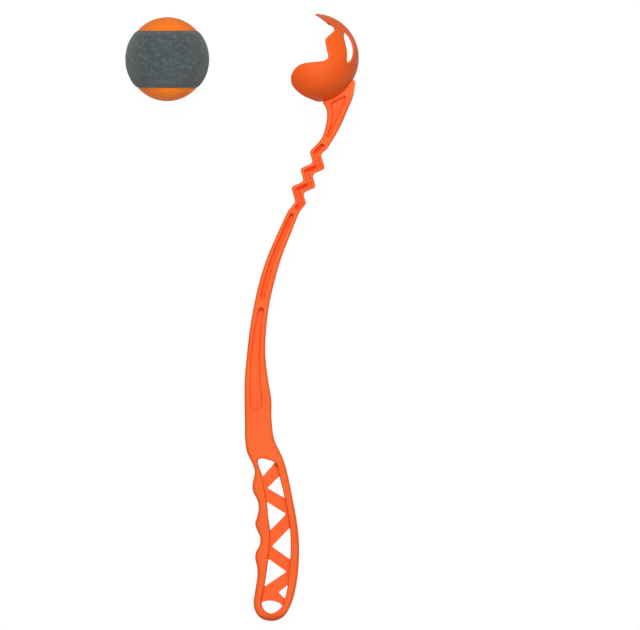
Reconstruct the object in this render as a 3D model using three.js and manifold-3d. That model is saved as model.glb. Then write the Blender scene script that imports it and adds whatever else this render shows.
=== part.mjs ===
// Dog ball thrower and its ball, lying on a floor with the thrower on its side.
// Millimetres, +Z up. The thrower's own plane holds its curve: +X runs from the cup's mouth to its
// back, +Y from the grip to the cup, and the thrower is one moulding that is symmetric across that plane.
// The moulding is divided where it bends (the zigzag, the lobes and beak of the cup) and where its form
// changes. Outlines were traced in pixels on a side view and a front view, and each is scaled by a real
// size. The finished group has its origin under the middle of its bounding box, on the floor.

import * as THREE from 'three';
import { mergeVertices } from 'three/addons/utils/BufferGeometryUtils.js';
import Module from 'manifold-3d';

const wasm = await Module();
wasm.setup();

// Fits
const seam = 0.3;
const overrun = 3;

// Ball
const ballDiameter = 67.5;
const feltThickness = 1.4;
const bandHalfHeight = 23.2;
const capEdgeRadius = 23.3;
const capRise = 10.4;
const coreWall = 4;
const ballSegments = 32;
const arcSteps = 8;

// Cup
const cupClearance = 0.25;
const cupWall = 1.5;
const cupSegments = 44;
const cupRows = 22;

// Neck and zigzag
const neckDrop = 70.3;
const neckRun = 6.2;
const neckThickness = 14.8;
const neckPocketDepth = 3.2;
const entryRun = 5.6;
const entryDrop = 5.7;
const steepRun = 3;
const steepDrop = 10.4;
const flatRun = 10.3;
const flatDrop = 4.3;
const exitRun = 6.7;
const exitDrop = 9.6;
const zigzagTeeth = 3;
const zigzagWidth = 6.6;
const zigzagGrooveWidth = 3.4;
const grooveDepth = 4.8;
const flexRadius = 4;
const discSides = 48;

// Arm
const armDrop = 189.5;
const armWidth = 22.4;
const armGrooveTop = 3.7;
const armGrooveMiddle = 4.4;
const armGrooveBottom = 10;

// Grip
const gripLength = 135.4;
const gripWidth = 34.4;
const gripThickness = 23.4;
const gripEndRadius = 6.5;
const trussThickness = 11.4;

// Where the ball lies, from the cup's centre, and how far its upper pole leans off the floor
const ballRun = 117.8;
const ballDrop = 0.8;
const ballTiltDegrees = 4.3;

// Traced outlines. Pixels on the side view, x to the right and y down, unless a comment says otherwise.
const cupCentrePixel = [314.5, 58];
const cupRadiusPixels = 44.4;
const cupOpeningPixels = [
  [315.1, 12.6], [315.1, 13.6], [325.4, 20.6], [334.1, 27.1], [334.7, 29.8], [325.6, 39.4], [325.6, 42],
  [328.2, 56.4], [327.1, 59.1], [322.2, 61.3], [311.3, 62.4], [302.7, 64], [297.2, 67.2], [292.9, 72.7],
  [291.1, 78.1], [291.8, 82.4], [297.2, 91.1], [305.9, 96.5], [320, 102.3], [320, 104.5],
];
const cupBackPixels = [[362, 104.5], [362, 12.6]];
const clawRegionPixels = [[309.4, 60], [302.8, 99.7], [280, 99.7], [280, 60]];
// Where the lobe's root meets the cup's opening, above and below
const clawEdgePixels = [[309, 62.6], [303.6, 95.2]];
const beakRegionPixels = [[331, 10], [331, 30], [300, 30], [300, 10]];
// Window outline on the front view: across from the middle, and down from the cup's centre
const windowPixels = [
  [16.7, -27.9], [14.6, -20], [15.8, -10.8], [19.6, -2.5], [24.6, 3.3], [29.6, 5.8], [31.9, 4.6],
  [31.7, -3.3], [29.6, -16.7], [27.1, -21.7], [23.8, -24.6],
];
const neckEndPixel = [322.2, 145.9];
const neckPixels = [
  [350, 76], [354.2, 80.3], [354.7, 86.8], [352, 97.6], [346.1, 110.6], [341.7, 119.3], [334.1, 135.6],
  [327.6, 146.4], [318.4, 147.4], [316.8, 145.3], [321.1, 141], [325.4, 132.3], [327.6, 122.6],
  [328.2, 113.9], [326.5, 106.3], [323.3, 102], [329, 92],
];
const neckPocketPixels = [
  [330.9, 103], [346.6, 94.4], [343.9, 104.1], [339.5, 117.1], [329.8, 137.7], [326, 137.7],
  [329.8, 124.7], [332, 113.9],
];
// The arm's middle, its height and its level width, from the zigzag's end to the grip
const armTopPixel = [292.4, 214.85];
const armBottomPixel = [263.9, 451.5];
const armWidthPixels = 28;
const armStationPixels = [
  [294.6, 211, 10.6],
  [292.4, 215, 10.9],
  [283.6, 235, 12.6],
  [274.2, 258, 13.5],
  [266.9, 282, 14.2],
  [261.4, 306, 14.3],
  [257.9, 330, 15.6],
  [256.1, 355, 17.9],
  [256.5, 380, 23.2],
  [258, 400, 26.8],
  [258.3, 420, 26.5],
  [260, 440, 28.4],
  [263.9, 451.5, 31.8],
];
// From the top end of each groove along the arm to its bottom end
const grooveOnePixels = [215, 298];
const grooveTwoPixels = [309, 405];
// How far each groove lies off the arm's middle line at its top and bottom end
const grooveOneShiftPixels = [-0.5, -1];
const grooveTwoShiftPixels = [0.3, -2];
const gripWidthPixels = 43;
const gripEndPixel = 620.7;
const gripPixels = [
  [248, 451.5], [248.9, 454], [254, 464.1], [255.3, 470.4], [254.6, 475.5], [252.5, 485.6], [253.4, 491.9],
  [257.8, 500.7], [258.7, 508.3], [257.1, 517.1], [255.3, 522.8], [257.1, 529.7], [260.3, 537.3],
  [259.7, 544.9], [255.9, 552.5], [255.3, 557.5], [257.1, 566.4], [257.5, 575.2], [255.3, 590.4],
  [253.7, 603], [255.3, 610.6], [260.3, 617.5], [267.9, 620.7], [274.2, 620.3], [281.8, 615.6],
  [288.1, 606.8], [291.9, 597.9], [295, 586.6], [297.6, 571.4], [298.8, 551.2], [298.6, 541.1],
  [296.9, 523.4], [293.1, 502], [288.1, 476.7], [283, 459], [279.8, 451.5],
];
const gripWindowPixels = [
  [257.1, 459.9], [259.4, 457.2], [262.6, 456.9], [274.7, 460.7], [277, 463.2], [279.6, 475], [284.9, 496.9],
  [288, 512.1], [290.4, 528.5], [291, 543.6], [290.6, 558.8], [288.3, 584], [285.6, 597.9],
  [283.2, 605.2], [277.9, 610.9], [271, 613.9], [264.6, 611.2], [261.4, 605.4], [260.9, 599.8],
  [264.2, 584], [267.9, 557.5], [269.2, 543.6], [269.5, 531], [267.9, 518.4], [266, 500.7], [261.8, 476.7],
];
// Each opening of the truss: its corner inside the grip, then its two corners on the rim
const trussOpeningPixels = [
  [[275.4, 462], [262, 455.5], [262.6, 476.6]],
  [[267.4, 488], [279.5, 475.7], [283.9, 497.6]],
  [[286.4, 513.8], [266.8, 501.5], [270.6, 530.1]],
  [[271.9, 546.3], [288.4, 529], [289.4, 559]],
  [[286.8, 571.5], [268.7, 558.7], [265.5, 586]],
  [[278.4, 592.2], [287.1, 585.1], [284.9, 598.8]],
];
const trussReachShare = 1.5;
const hangEyePixels = [
  [256, 604.4], [261, 602.4], [265.4, 600.7], [270.4, 600.2], [276.6, 601.4], [282.4, 604.8], [288, 609.8],
  [288, 620], [256, 620],
];
const hingeShare = 0.42;
const grooveEndShare = 0.42;

// Sizes that follow
const ballRadius = ballDiameter / 2;
const cupInnerRadius = ballRadius + cupClearance;
const cupOuterRadius = cupInnerRadius + cupWall;
const cupScale = cupOuterRadius / cupRadiusPixels;
const neckScale = neckDrop / (neckEndPixel[1] - cupCentrePixel[1]);
const armScale = armDrop / (armBottomPixel[1] - armTopPixel[1]);
const armWidthScale = armWidth / armWidthPixels;
const gripLengthScale = gripLength / (gripEndPixel - armBottomPixel[1]);
const gripWidthScale = gripWidth / gripWidthPixels;
const cutReach = neckDrop + armDrop + gripLength;

// Points are plane vectors from the cup's centre
function onPlane(pixels, fromPixel, start, acrossScale, downScale) {
  return pixels.map(([x, y]) => new THREE.Vector2(
    start.x + (x - fromPixel[0]) * acrossScale,
    start.y - (y - fromPixel[1]) * downScale,
  ));
}

function smooth(points, closed) {
  const stepsPerPoint = 2;
  const spatial = points.map((point) => new THREE.Vector3(point.x, point.y, 0));
  const curve = new THREE.CatmullRomCurve3(spatial, closed, 'centripetal');
  const spans = closed ? points.length : points.length - 1;
  const places = curve.getPoints(spans * stepsPerPoint).map((place) => new THREE.Vector2(place.x, place.y));
  if (closed) places.pop();
  return places;
}

// The outline of a strip of given widths along a path, with mitred bends and, if asked, round ends
function strip(path, widths, roundEnds) {
  const last = path.length - 1;
  const left = [];
  const right = [];
  path.forEach((point, index) => {
    const before = path[Math.max(index - 1, 0)];
    const after = path[Math.min(index + 1, last)];
    const incoming = (index > 0 ? point.clone().sub(before) : after.clone().sub(point)).normalize();
    const outgoing = (index < last ? after.clone().sub(point) : point.clone().sub(before)).normalize();
    const along = incoming.clone().add(outgoing).normalize();
    const reach = widths[index] / 2 / along.dot(incoming);
    const across = new THREE.Vector2(-along.y, along.x).multiplyScalar(reach);
    left.push(point.clone().add(across));
    right.unshift(point.clone().sub(across));
  });
  if (!roundEnds) return [...left, ...right];
  const lastCap = halfRound(path[last], left[last]);
  const firstCap = halfRound(path[0], right[last]);
  return [...left, ...lastCap, ...right, ...firstCap];
}

// Points of the half circle that leaves a start point clockwise about a centre
function halfRound(centre, start) {
  const steps = 6;
  const points = [];
  for (let step = 1; step < steps; step += 1) {
    points.push(start.clone().rotateAround(centre, -Math.PI * step / steps));
  }
  return points;
}

function disc(centre, radius) {
  const points = [];
  for (let side = 0; side < discSides; side += 1) {
    const turn = 2 * Math.PI * side / discSides;
    points.push(new THREE.Vector2(Math.cos(turn), Math.sin(turn)).multiplyScalar(radius).add(centre));
  }
  return points;
}

// Solids
function solidOf(geometry) {
  geometry.deleteAttribute('normal');
  geometry.deleteAttribute('uv');
  const merged = mergeVertices(geometry);
  const vertProperties = merged.attributes.position.array;
  const triVerts = new Uint32Array(merged.index.array);
  return new wasm.Manifold(new wasm.Mesh({ numProp: 3, vertProperties, triVerts }));
}

// A prism whose lower and upper faces lie at heights that may change along Y
function prismGeometry(outline, lowerAt, upperAt) {
  const geometry = new THREE.ExtrudeGeometry(new THREE.Shape(outline), { depth: 1, bevelEnabled: false });
  const position = geometry.attributes.position;
  for (let index = 0; index < position.count; index += 1) {
    const faceAt = position.getZ(index) > 0 ? upperAt : lowerAt;
    position.setZ(index, faceAt(position.getY(index)));
  }
  return geometry;
}

function prism(outline, lowerAt, upperAt) {
  return solidOf(prismGeometry(outline, lowerAt, upperAt));
}

function plate(outline, halfAt) {
  return prism(outline, (y) => -halfAt(y), halfAt);
}

function through(outline) {
  return plate(outline, () => cutReach);
}

// A recess of one depth in both broad faces
function recesses(outline, halfAt, depth) {
  const upper = prism(outline, (y) => halfAt(y) - depth, (y) => halfAt(y) + overrun);
  const lower = prism(outline, (y) => -halfAt(y) - overrun, (y) => depth - halfAt(y));
  return upper.add(lower);
}

function sphere(radius) {
  return solidOf(new THREE.SphereGeometry(radius, cupSegments, cupRows));
}

function geometryOf(solid) {
  const mesh = solid.getMesh();
  const geometry = new THREE.BufferGeometry();
  geometry.setAttribute('position', new THREE.BufferAttribute(mesh.vertProperties, 3));
  geometry.setIndex(new THREE.BufferAttribute(mesh.triVerts, 1));
  return geometry;
}

function piece(name, geometry, material) {
  const mesh = new THREE.Mesh(geometry, material);
  mesh.name = name;
  return mesh;
}

// Materials
const orangePlastic = new THREE.MeshStandardMaterial({ color: 0xfd6423, roughness: 0.42, metalness: 0 });
const orangeRubber = new THREE.MeshStandardMaterial({ color: 0xfc7d1e, roughness: 0.6, metalness: 0 });
const greyFelt = new THREE.MeshStandardMaterial({ color: 0x4b5555, roughness: 1, metalness: 0 });

// Places on the thrower's plane, each worked out from the one before
const cupCentre = new THREE.Vector2(0, 0);
const neckEnd = new THREE.Vector2(neckRun, -neckDrop);
const zigzagPath = [neckEnd.clone(), neckEnd.clone().add(new THREE.Vector2(-entryRun, -entryDrop))];
for (let tooth = 0; tooth < zigzagTeeth; tooth += 1) {
  const rightCorner = zigzagPath.at(-1).clone().add(new THREE.Vector2(steepRun, -steepDrop));
  zigzagPath.push(rightCorner);
  if (tooth < zigzagTeeth - 1) {
    zigzagPath.push(rightCorner.clone().add(new THREE.Vector2(-flatRun, -flatDrop)));
  }
}
const armTop = zigzagPath.at(-1).clone().add(new THREE.Vector2(-exitRun, -exitDrop));
zigzagPath.push(armTop.clone());
const armBottom = new THREE.Vector2(
  armTop.x + (armBottomPixel[0] - armTopPixel[0]) * armScale,
  armTop.y - armDrop,
);
const gripEnd = armBottom.y - gripLength;

// Half the thickness across the plane: even along the neck and the grip, growing evenly between them
function halfThickness(y) {
  const share = THREE.MathUtils.clamp((neckEnd.y - y) / (neckEnd.y - armBottom.y), 0, 1);
  return THREE.MathUtils.lerp(neckThickness, gripThickness, share) / 2;
}

// Cup
const cupOnPlane = (pixels) => onPlane(pixels, cupCentrePixel, cupCentre, cupScale, cupScale);

function cupShell() {
  const profile = through([...cupOnPlane(cupOpeningPixels), ...cupOnPlane(cupBackPixels)]);
  const shell = sphere(cupOuterRadius).subtract(sphere(cupInnerRadius)).intersect(profile);
  const windowOutline = smooth(onPlane(windowPixels, [0, 0], cupCentre, cupScale, cupScale), true);
  const mirrored = windowOutline.map((point) => new THREE.Vector2(-point.x, point.y)).reverse();
  return [windowOutline, mirrored].reduce((rest, outline) => {
    const cutter = prismGeometry(outline, () => 0, () => cupOuterRadius + overrun);
    return rest.subtract(solidOf(cutter.rotateY(Math.PI / 2)));
  }, shell);
}

// The two sides of a cut across the cup, half a seam each from its line
function cutCup(shell, regionPixels, lean) {
  const region = cupOnPlane(regionPixels);
  const shift = lean.clone().multiplyScalar(seam / 2);
  const near = through(region.map((point) => point.clone().add(shift)));
  const far = through(region.map((point) => point.clone().sub(shift)));
  return { off: shell.intersect(near), rest: shell.subtract(far) };
}

const clawRoot = cupOnPlane(clawRegionPixels).slice(0, 2);
const clawLine = clawRoot[1].clone().sub(clawRoot[0]).normalize();
const clawSide = new THREE.Vector2(clawLine.y, -clawLine.x);
const clawSplit = cutCup(cupShell(), clawRegionPixels, clawSide);
const beakSplit = cutCup(clawSplit.rest, beakRegionPixels, new THREE.Vector2(-1, 0));
const leftSide = prism(cupOnPlane(clawRegionPixels), () => 0, () => cutReach);
const clawLeft = clawSplit.off.intersect(leftSide);
const clawRight = clawSplit.off.subtract(leftSide);

// Neck, zigzag and arm as one stem, which the flexing places then divide
const neckOnPlane = (pixels) => onPlane(pixels, neckEndPixel, neckEnd, neckScale, neckScale);

function armMiddle([middle, height]) {
  return new THREE.Vector2(
    armTop.x + (middle - armTopPixel[0]) * armScale,
    armTop.y - (height - armTopPixel[1]) * armScale,
  );
}

function armOutline() {
  const edge = (side) => smooth(armStationPixels.map((station) => {
    const middle = armMiddle(station);
    const width = station[2] * armWidthScale;
    return new THREE.Vector2(middle.x + side * width / 2, middle.y);
  }), false);
  return [...edge(-1), ...edge(1).reverse()];
}

// The part of the arm's middle line between two heights, with the groove's widths along it
function armGroove([topPixel, bottomPixel], [firstShift, lastShift], firstWidth, lastWidth) {
  const steps = 12;
  const line = new THREE.SplineCurve(armStationPixels.map(armMiddle)).getPoints(discSides);
  const fromY = armTop.y - (topPixel - armTopPixel[1]) * armScale;
  const toY = armTop.y - (bottomPixel - armTopPixel[1]) * armScale;
  const path = [];
  const widths = [];
  for (let step = 0; step <= steps; step += 1) {
    const y = THREE.MathUtils.lerp(fromY, toY, step / steps);
    const next = line.findIndex((point) => point.y <= y);
    const share = (line[next - 1].y - y) / (line[next - 1].y - line[next].y);
    const middle = line[next - 1].clone().lerp(line[next], share);
    middle.x += THREE.MathUtils.lerp(firstShift, lastShift, step / steps) * armWidthScale;
    path.push(middle);
    widths.push(THREE.MathUtils.lerp(firstWidth, lastWidth, step / steps));
  }
  return strip(path, widths, true);
}

function stemSolid() {
  const evenWidths = zigzagPath.map(() => zigzagWidth);
  const neck = plate(smooth(neckOnPlane(neckPixels), true), halfThickness);
  const zigzag = plate(strip(zigzagPath, evenWidths, false), halfThickness);
  const arm = plate(armOutline(), halfThickness);
  const groovePath = zigzagPath.map((point) => point.clone());
  groovePath.at(-1).copy(zigzagPath.at(-2)).lerp(zigzagPath.at(-1), grooveEndShare);
  const grooveWidths = groovePath.map(() => zigzagGrooveWidth);
  const cutters = [
    sphere(cupOuterRadius + seam),
    recesses(smooth(neckOnPlane(neckPocketPixels), true), halfThickness, neckPocketDepth),
    recesses(strip(groovePath, grooveWidths, true), halfThickness, grooveDepth),
    recesses(
      armGroove(grooveOnePixels, grooveOneShiftPixels, armGrooveTop, armGrooveTop),
      halfThickness, grooveDepth,
    ),
    recesses(
      armGroove(grooveTwoPixels, grooveTwoShiftPixels, armGrooveMiddle, armGrooveBottom),
      halfThickness, grooveDepth,
    ),
  ];
  return cutters.reduce((rest, cutter) => rest.subtract(cutter), neck.add(zigzag).add(arm));
}

// One flexing place on each leg of the zigzag between its first and last corners
const flexes = [];
for (let leg = 1; leg < zigzagPath.length - 2; leg += 1) {
  const start = zigzagPath[leg];
  const end = zigzagPath[leg + 1];
  flexes.push({ centre: start.clone().lerp(end, hingeShare), along: end.clone().sub(start).normalize() });
}

// All of the stem above a flexing place, ending in a round face about its axis
function aboveFlex(flex, radius) {
  const back = flex.along.clone().multiplyScalar(-cutReach);
  const across = new THREE.Vector2(-flex.along.y, flex.along.x).multiplyScalar(cutReach);
  const near = [flex.centre.clone().add(across), flex.centre.clone().sub(across)];
  const far = [near[1].clone().add(back), near[0].clone().add(back)];
  return through([...near, ...far]).add(through(disc(flex.centre, radius)));
}

const upperParts = flexes.map((flex) => aboveFlex(flex, flexRadius - seam / 2));
const upperRooms = flexes.map((flex) => aboveFlex(flex, flexRadius + seam / 2));
const stem = stemSolid();
const neckGusset = stem.intersect(upperParts[0]);
const zigzagLinks = flexes.slice(1).map((flex, index) => (
  stem.intersect(upperParts[index + 1]).subtract(upperRooms[index])
));
const armBeam = stem.subtract(upperRooms.at(-1));

// Grip
const gripOnPlane = (pixels) => onPlane(pixels, armBottomPixel, armBottom, gripWidthScale, gripLengthScale);

// The grip seen from the front: straight sides and a rounded end
function gripEndShape() {
  const half = gripThickness / 2;
  const corner = new THREE.Vector2(half - gripEndRadius, gripEnd + gripEndRadius);
  const quarter = [];
  for (let step = 0; step <= arcSteps; step += 1) {
    const turn = Math.PI / 2 * step / arcSteps;
    const spoke = new THREE.Vector2(Math.cos(turn), -Math.sin(turn)).multiplyScalar(gripEndRadius);
    quarter.push(spoke.add(corner));
  }
  const mirrored = quarter.map((point) => new THREE.Vector2(-point.x, point.y)).reverse();
  const top = armBottom.y + overrun;
  const outline = [new THREE.Vector2(-half, top), new THREE.Vector2(half, top), ...quarter, ...mirrored];
  const geometry = prismGeometry(outline, () => -cutReach, () => cutReach);
  return solidOf(geometry.rotateY(Math.PI / 2));
}

function gripSolids() {
  const edge = smooth(gripOnPlane(gripPixels), false);
  const lowered = edge.map((point) => new THREE.Vector2(point.x, Math.min(point.y, armBottom.y - seam)));
  const windowOutline = smooth(gripOnPlane(gripWindowPixels), true);
  const frame = plate(lowered, () => gripThickness / 2)
    .subtract(through(windowOutline))
    .intersect(gripEndShape());
  const inset = insetOutline(windowOutline, seam);
  const cutters = trussOpeningPixels.map((opening) => {
    const corners = gripOnPlane(opening);
    const reached = corners.slice(1).map((corner) => corners[0].clone().lerp(corner, trussReachShare));
    return through([corners[0], ...reached]);
  });
  cutters.push(through(gripOnPlane(hangEyePixels)));
  const truss = cutters.reduce(
    (rest, cutter) => rest.subtract(cutter),
    plate(inset, () => trussThickness / 2),
  );
  return { frame, truss };
}

// The same closed outline, moved inward by a distance; it runs clockwise
function insetOutline(outline, distance) {
  const count = outline.length;
  return outline.map((point, index) => {
    const before = outline[(index + count - 1) % count];
    const after = outline[(index + 1) % count];
    const along = after.clone().sub(before).normalize();
    return new THREE.Vector2(point.x + along.y * distance, point.y - along.x * distance);
  });
}

const grip = gripSolids();

// Ball: two half shells with a shallow seat round the middle, and the felt band in the seat
function sphereArc(radius, centreHeight, fromHeight, toHeight) {
  const points = [];
  const fromTurn = Math.asin((fromHeight - centreHeight) / radius);
  const toTurn = Math.asin(Math.min((toHeight - centreHeight) / radius, 1));
  for (let step = 0; step <= arcSteps; step += 1) {
    const turn = THREE.MathUtils.lerp(fromTurn, toTurn, step / arcSteps);
    const across = Math.max(radius * Math.cos(turn), 0);
    points.push(new THREE.Vector2(across, centreHeight + radius * Math.sin(turn)));
  }
  return points;
}

function ballCoreHalf() {
  const seatRadius = ballRadius - feltThickness - seam;
  const poleHeight = bandHalfHeight + capRise;
  const domeRadius = (capEdgeRadius ** 2 + capRise ** 2) / (2 * capRise);
  const innerRadius = seatRadius - coreWall;
  const inner = sphereArc(innerRadius, 0, seam / 2, innerRadius).reverse();
  const seat = sphereArc(seatRadius, 0, seam / 2, bandHalfHeight);
  const dome = sphereArc(domeRadius, poleHeight - domeRadius, bandHalfHeight, poleHeight);
  inner[0].x = 0;
  dome.at(-1).x = 0;
  return latheGeometry([...inner, ...seat, ...dome]);
}

function feltBand() {
  const edge = bandHalfHeight - seam;
  const outer = sphereArc(ballRadius, 0, -edge, edge);
  const inner = sphereArc(ballRadius - feltThickness, 0, -edge, edge).reverse();
  return latheGeometry([...outer, ...inner, outer[0].clone()]);
}

function latheGeometry(profile) {
  return geometryOf(solidOf(new THREE.LatheGeometry(profile, ballSegments)));
}

// Lying height and lean: the cup's side and the lower edge of the grip's end touch the floor
const gripEndDistance = -gripEnd - gripEndRadius;
const gripEndDepth = gripThickness / 2 - gripEndRadius;
const lean = Math.asin((cupOuterRadius - gripEndRadius) / Math.hypot(gripEndDistance, gripEndDepth))
  - Math.atan2(gripEndDepth, gripEndDistance);

const thrower = new THREE.Group();
thrower.position.z = cupOuterRadius;
thrower.rotation.x = lean;
thrower.add(
  piece('grip_frame', geometryOf(grip.frame), orangePlastic),
  piece('grip_truss', geometryOf(grip.truss), orangePlastic),
  piece('arm_beam', geometryOf(armBeam), orangePlastic),
  ...zigzagLinks.map((link, index) => (
    piece(`zigzag_link_${zigzagLinks.length - index}`, geometryOf(link), orangePlastic)
  )),
  piece('neck_gusset', geometryOf(neckGusset), orangePlastic),
  piece('cup_bowl', geometryOf(beakSplit.rest), orangePlastic),
  piece('cup_beak', geometryOf(beakSplit.off), orangePlastic),
  piece('cup_claw_left', geometryOf(clawLeft), orangePlastic),
  piece('cup_claw_right', geometryOf(clawRight), orangePlastic),
);

const ball = new THREE.Group();
ball.position.set(-ballRun, -ballDrop, ballRadius);
ball.rotation.x = THREE.MathUtils.degToRad(ballTiltDegrees);
const lowerCore = piece('ball_core_lower', ballCoreHalf(), orangeRubber);
lowerCore.rotation.x = Math.PI;
ball.add(
  piece('ball_core_upper', ballCoreHalf(), orangeRubber),
  lowerCore,
  piece('ball_felt_band', feltBand(), greyFelt),
);

const ballThrower = new THREE.Group();
ballThrower.add(thrower, ball);
ballThrower.updateMatrixWorld(true);
const bounds = new THREE.Box3().setFromObject(ballThrower, true);
const middle = bounds.getCenter(new THREE.Vector3());
ballThrower.position.set(-middle.x, -middle.y, -bounds.min.z);

ballThrower.updateMatrixWorld(true);

// Joint axes in the finished frame. A lobe bends about a line that touches the cup at the middle of the
// lobe's root, and the beak about a level line across the top of its root.
function jointAxis(through, along) {
  const start = thrower.localToWorld(through.clone());
  const end = thrower.localToWorld(through.clone().add(along));
  return { at: start.toArray(), axis: end.sub(start).normalize().toArray() };
}

function onCup(point) {
  return new THREE.Vector3(point.x, point.y, Math.sqrt(cupOuterRadius ** 2 - point.lengthSq()));
}

const lobeEdges = cupOnPlane(clawEdgePixels).map(onCup);
const lobeMiddle = onCup(cupOnPlane(clawEdgePixels)[0].lerp(cupOnPlane(clawEdgePixels)[1], 1 / 2));
const lobeAxis = lobeEdges[0].clone().sub(lobeEdges[1]);
const beakRoot = cupOnPlane(beakRegionPixels)[0];
const beakTop = new THREE.Vector3(beakRoot.x, Math.sqrt(cupOuterRadius ** 2 - beakRoot.x ** 2), 0);
const acrossPlane = new THREE.Vector3(0, 0, 1);
ballThrower.userData.joints = {
  flexes: flexes.map(({ centre }) => jointAxis(new THREE.Vector3(centre.x, centre.y, 0), acrossPlane)),
  clawLeft: jointAxis(lobeMiddle, lobeAxis),
  clawRight: jointAxis(
    lobeMiddle.clone().multiply(new THREE.Vector3(1, 1, -1)),
    lobeAxis.clone().multiply(new THREE.Vector3(-1, -1, 1)),
  ),
  beak: jointAxis(beakTop, acrossPlane.clone().negate()),
};

export default ballThrower;
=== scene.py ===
"""Makes a springy moulded dog ball thrower and its felt-banded ball.

Shapes are worked out in millimetres on the thrower's own plane: the cup's centre is the origin, x runs
to the right, y towards the cup and z towards the viewer. They are then laid where the thrower lies.
"""

import math

import bpy
import numpy as np
from mathutils import Matrix
from mathutils.geometry import delaunay_2d_cdt


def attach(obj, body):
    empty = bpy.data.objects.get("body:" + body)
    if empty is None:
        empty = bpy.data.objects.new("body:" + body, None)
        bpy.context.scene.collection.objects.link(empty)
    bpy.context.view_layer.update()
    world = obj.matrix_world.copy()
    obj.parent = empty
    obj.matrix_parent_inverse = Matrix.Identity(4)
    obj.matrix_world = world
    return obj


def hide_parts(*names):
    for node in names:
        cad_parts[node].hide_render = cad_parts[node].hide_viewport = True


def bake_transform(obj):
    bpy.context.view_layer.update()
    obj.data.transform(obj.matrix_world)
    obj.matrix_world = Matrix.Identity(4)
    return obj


bl_info = {
    "name": "Dog ball thrower",
    "version": (1, 0, 0),
    "blender": (4, 5, 0),
    "location": "3D View > Sidebar > Ball thrower",
    "description": "Makes a springy moulded dog ball thrower and its felt-banded ball",
    "category": "Add Mesh",
}

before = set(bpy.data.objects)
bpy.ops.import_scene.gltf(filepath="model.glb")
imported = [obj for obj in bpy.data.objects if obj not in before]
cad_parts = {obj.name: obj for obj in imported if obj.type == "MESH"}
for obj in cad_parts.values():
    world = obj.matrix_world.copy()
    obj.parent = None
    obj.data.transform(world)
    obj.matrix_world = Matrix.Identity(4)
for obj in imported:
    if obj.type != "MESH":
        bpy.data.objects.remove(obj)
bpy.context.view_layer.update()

metres_per_millimetre = 0.001
millimetre_digits = 4

# Where the cup's centre and the ball's centre lie, in metres, and how far the thrower leans on the floor
cup_place = np.array([0.058025, 0.207254, 0.0355])
ball_place = np.array([-0.059775, 0.206454, 0.03375])
lean = math.radians(3.075087)
ball_tilt = math.radians(4.3)

# Cup, in millimetres
cup_outer_radius = 35.44
cup_inner_radius = 34.0
wall_middle_radius = (cup_outer_radius + cup_inner_radius) / 2
half_wall = (cup_outer_radius - cup_inner_radius) / 2
cut_straight_radius = 32.0
cup_lip_steps = 8
cup_spacing = 0.8
cup_spread_angle = math.radians(126)
least_ring_points = 6

# Neck and zigzag, in millimetres
neck_end = np.array([6.2, -70.3])
entry_leg = np.array([-5.6, -5.7])
steep_leg = np.array([3.0, -10.4])
flat_leg = np.array([-10.3, -4.3])
exit_leg = np.array([-6.7, -9.6])
zigzag_teeth = 3
zigzag_half_width = 4.0
zigzag_groove_half_width = 1.7
outer_corner_radius = 2.7
inner_corner_radius = 3.2
groove_outer_corner_radius = 2.0
groove_inner_corner_radius = 0.8
groove_end_share = 0.42

# Arm and grip, in millimetres
arm_drop = 189.5
grip_length = 135.34
neck_half_thickness = 7.4
grip_half_thickness = 11.7
grip_end_radius = 6.5
truss_half_thickness = 5.7
truss_reach_share = 1.5

# Traced outlines, in pixels of the side view, x to the right and y down
cup_centre_pixel = np.array([314.5, 58.0])
cup_radius_pixels = 44.4
neck_end_pixel = np.array([322.2, 145.9])
arm_top_pixel = np.array([292.4, 214.85])
arm_bottom_pixel = np.array([263.9, 451.5])
grip_end_pixel = 620.7
arm_width_scale = 0.8
grip_width_scale = 0.8

beak_edge_pixels = [
    [315.2, 13.6], [319.2, 16.8], [324, 20.5], [327.8, 23.2], [331.5, 25.6], [334, 27.9], [334.3, 29.8],
    [333.2, 32.3], [330.2, 34.9], [327.2, 37.7], [325.3, 40.3], [325.9, 44.8], [327.2, 50.4],
    [328.2, 55.4], [328, 57.9], [326.4, 60.2], [323.2, 61.5], [316.5, 62.4], [309, 63.1], [303.2, 64.1],
    [298.8, 66], [295.2, 69], [292.7, 72.6], [291.2, 76.2], [290.9, 79.8], [291.6, 83.6], [293.7, 87.2],
    [297.3, 91.2], [302, 94.8], [307, 97.6], [311, 99.4], [315.2, 101.2], [320, 102.3],
]
beak_root_pixel = 331.0
claw_root_pixels = [[309.4, 60.0], [302.8, 99.7]]
window_pixels = [
    [17.6, -26.6], [15.8, -20], [17.4, -10.8], [21, -2.5], [25, 3.2], [28, 5], [29.5, 3.9],
    [29.4, -3.3], [27.7, -15.7], [25.3, -20.9], [22.3, -23.9],
]
neck_left_pixels = [
    [329, 92], [322.5, 102.2], [325.1, 106.2], [326.6, 110.5], [327, 114.2], [326.8, 119], [325.9, 124.9],
    [324.3, 131.3], [322.1, 137.2], [318.2, 142.7],
]
neck_right_pixels = [
    [350, 76], [354.9, 81.5], [354.5, 88.5], [352.7, 97.6], [348.9, 106.7], [344.6, 116.9], [340.5, 126],
    [335.6, 135.1], [327.6, 148.2],
]
neck_pocket_pixels = [
    [330.9, 103.0], [346.7, 94.5], [342.6, 107], [336.2, 121.4], [328.8, 138.2], [326.2, 137.4],
    [330.8, 125], [332.2, 114.2],
]
arm_station_pixels = [
    [294.2, 211, 12.2], [292.2, 215, 12.2], [283.6, 235, 13.4], [274.2, 258, 14.3], [266.9, 282, 15],
    [261.5, 306, 15.1], [258, 330, 16.3], [256.2, 355, 18.5], [256.5, 380, 23.4], [258, 400, 26.8],
    [258.3, 420, 26.7], [259.9, 440, 29.2],
]
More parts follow.
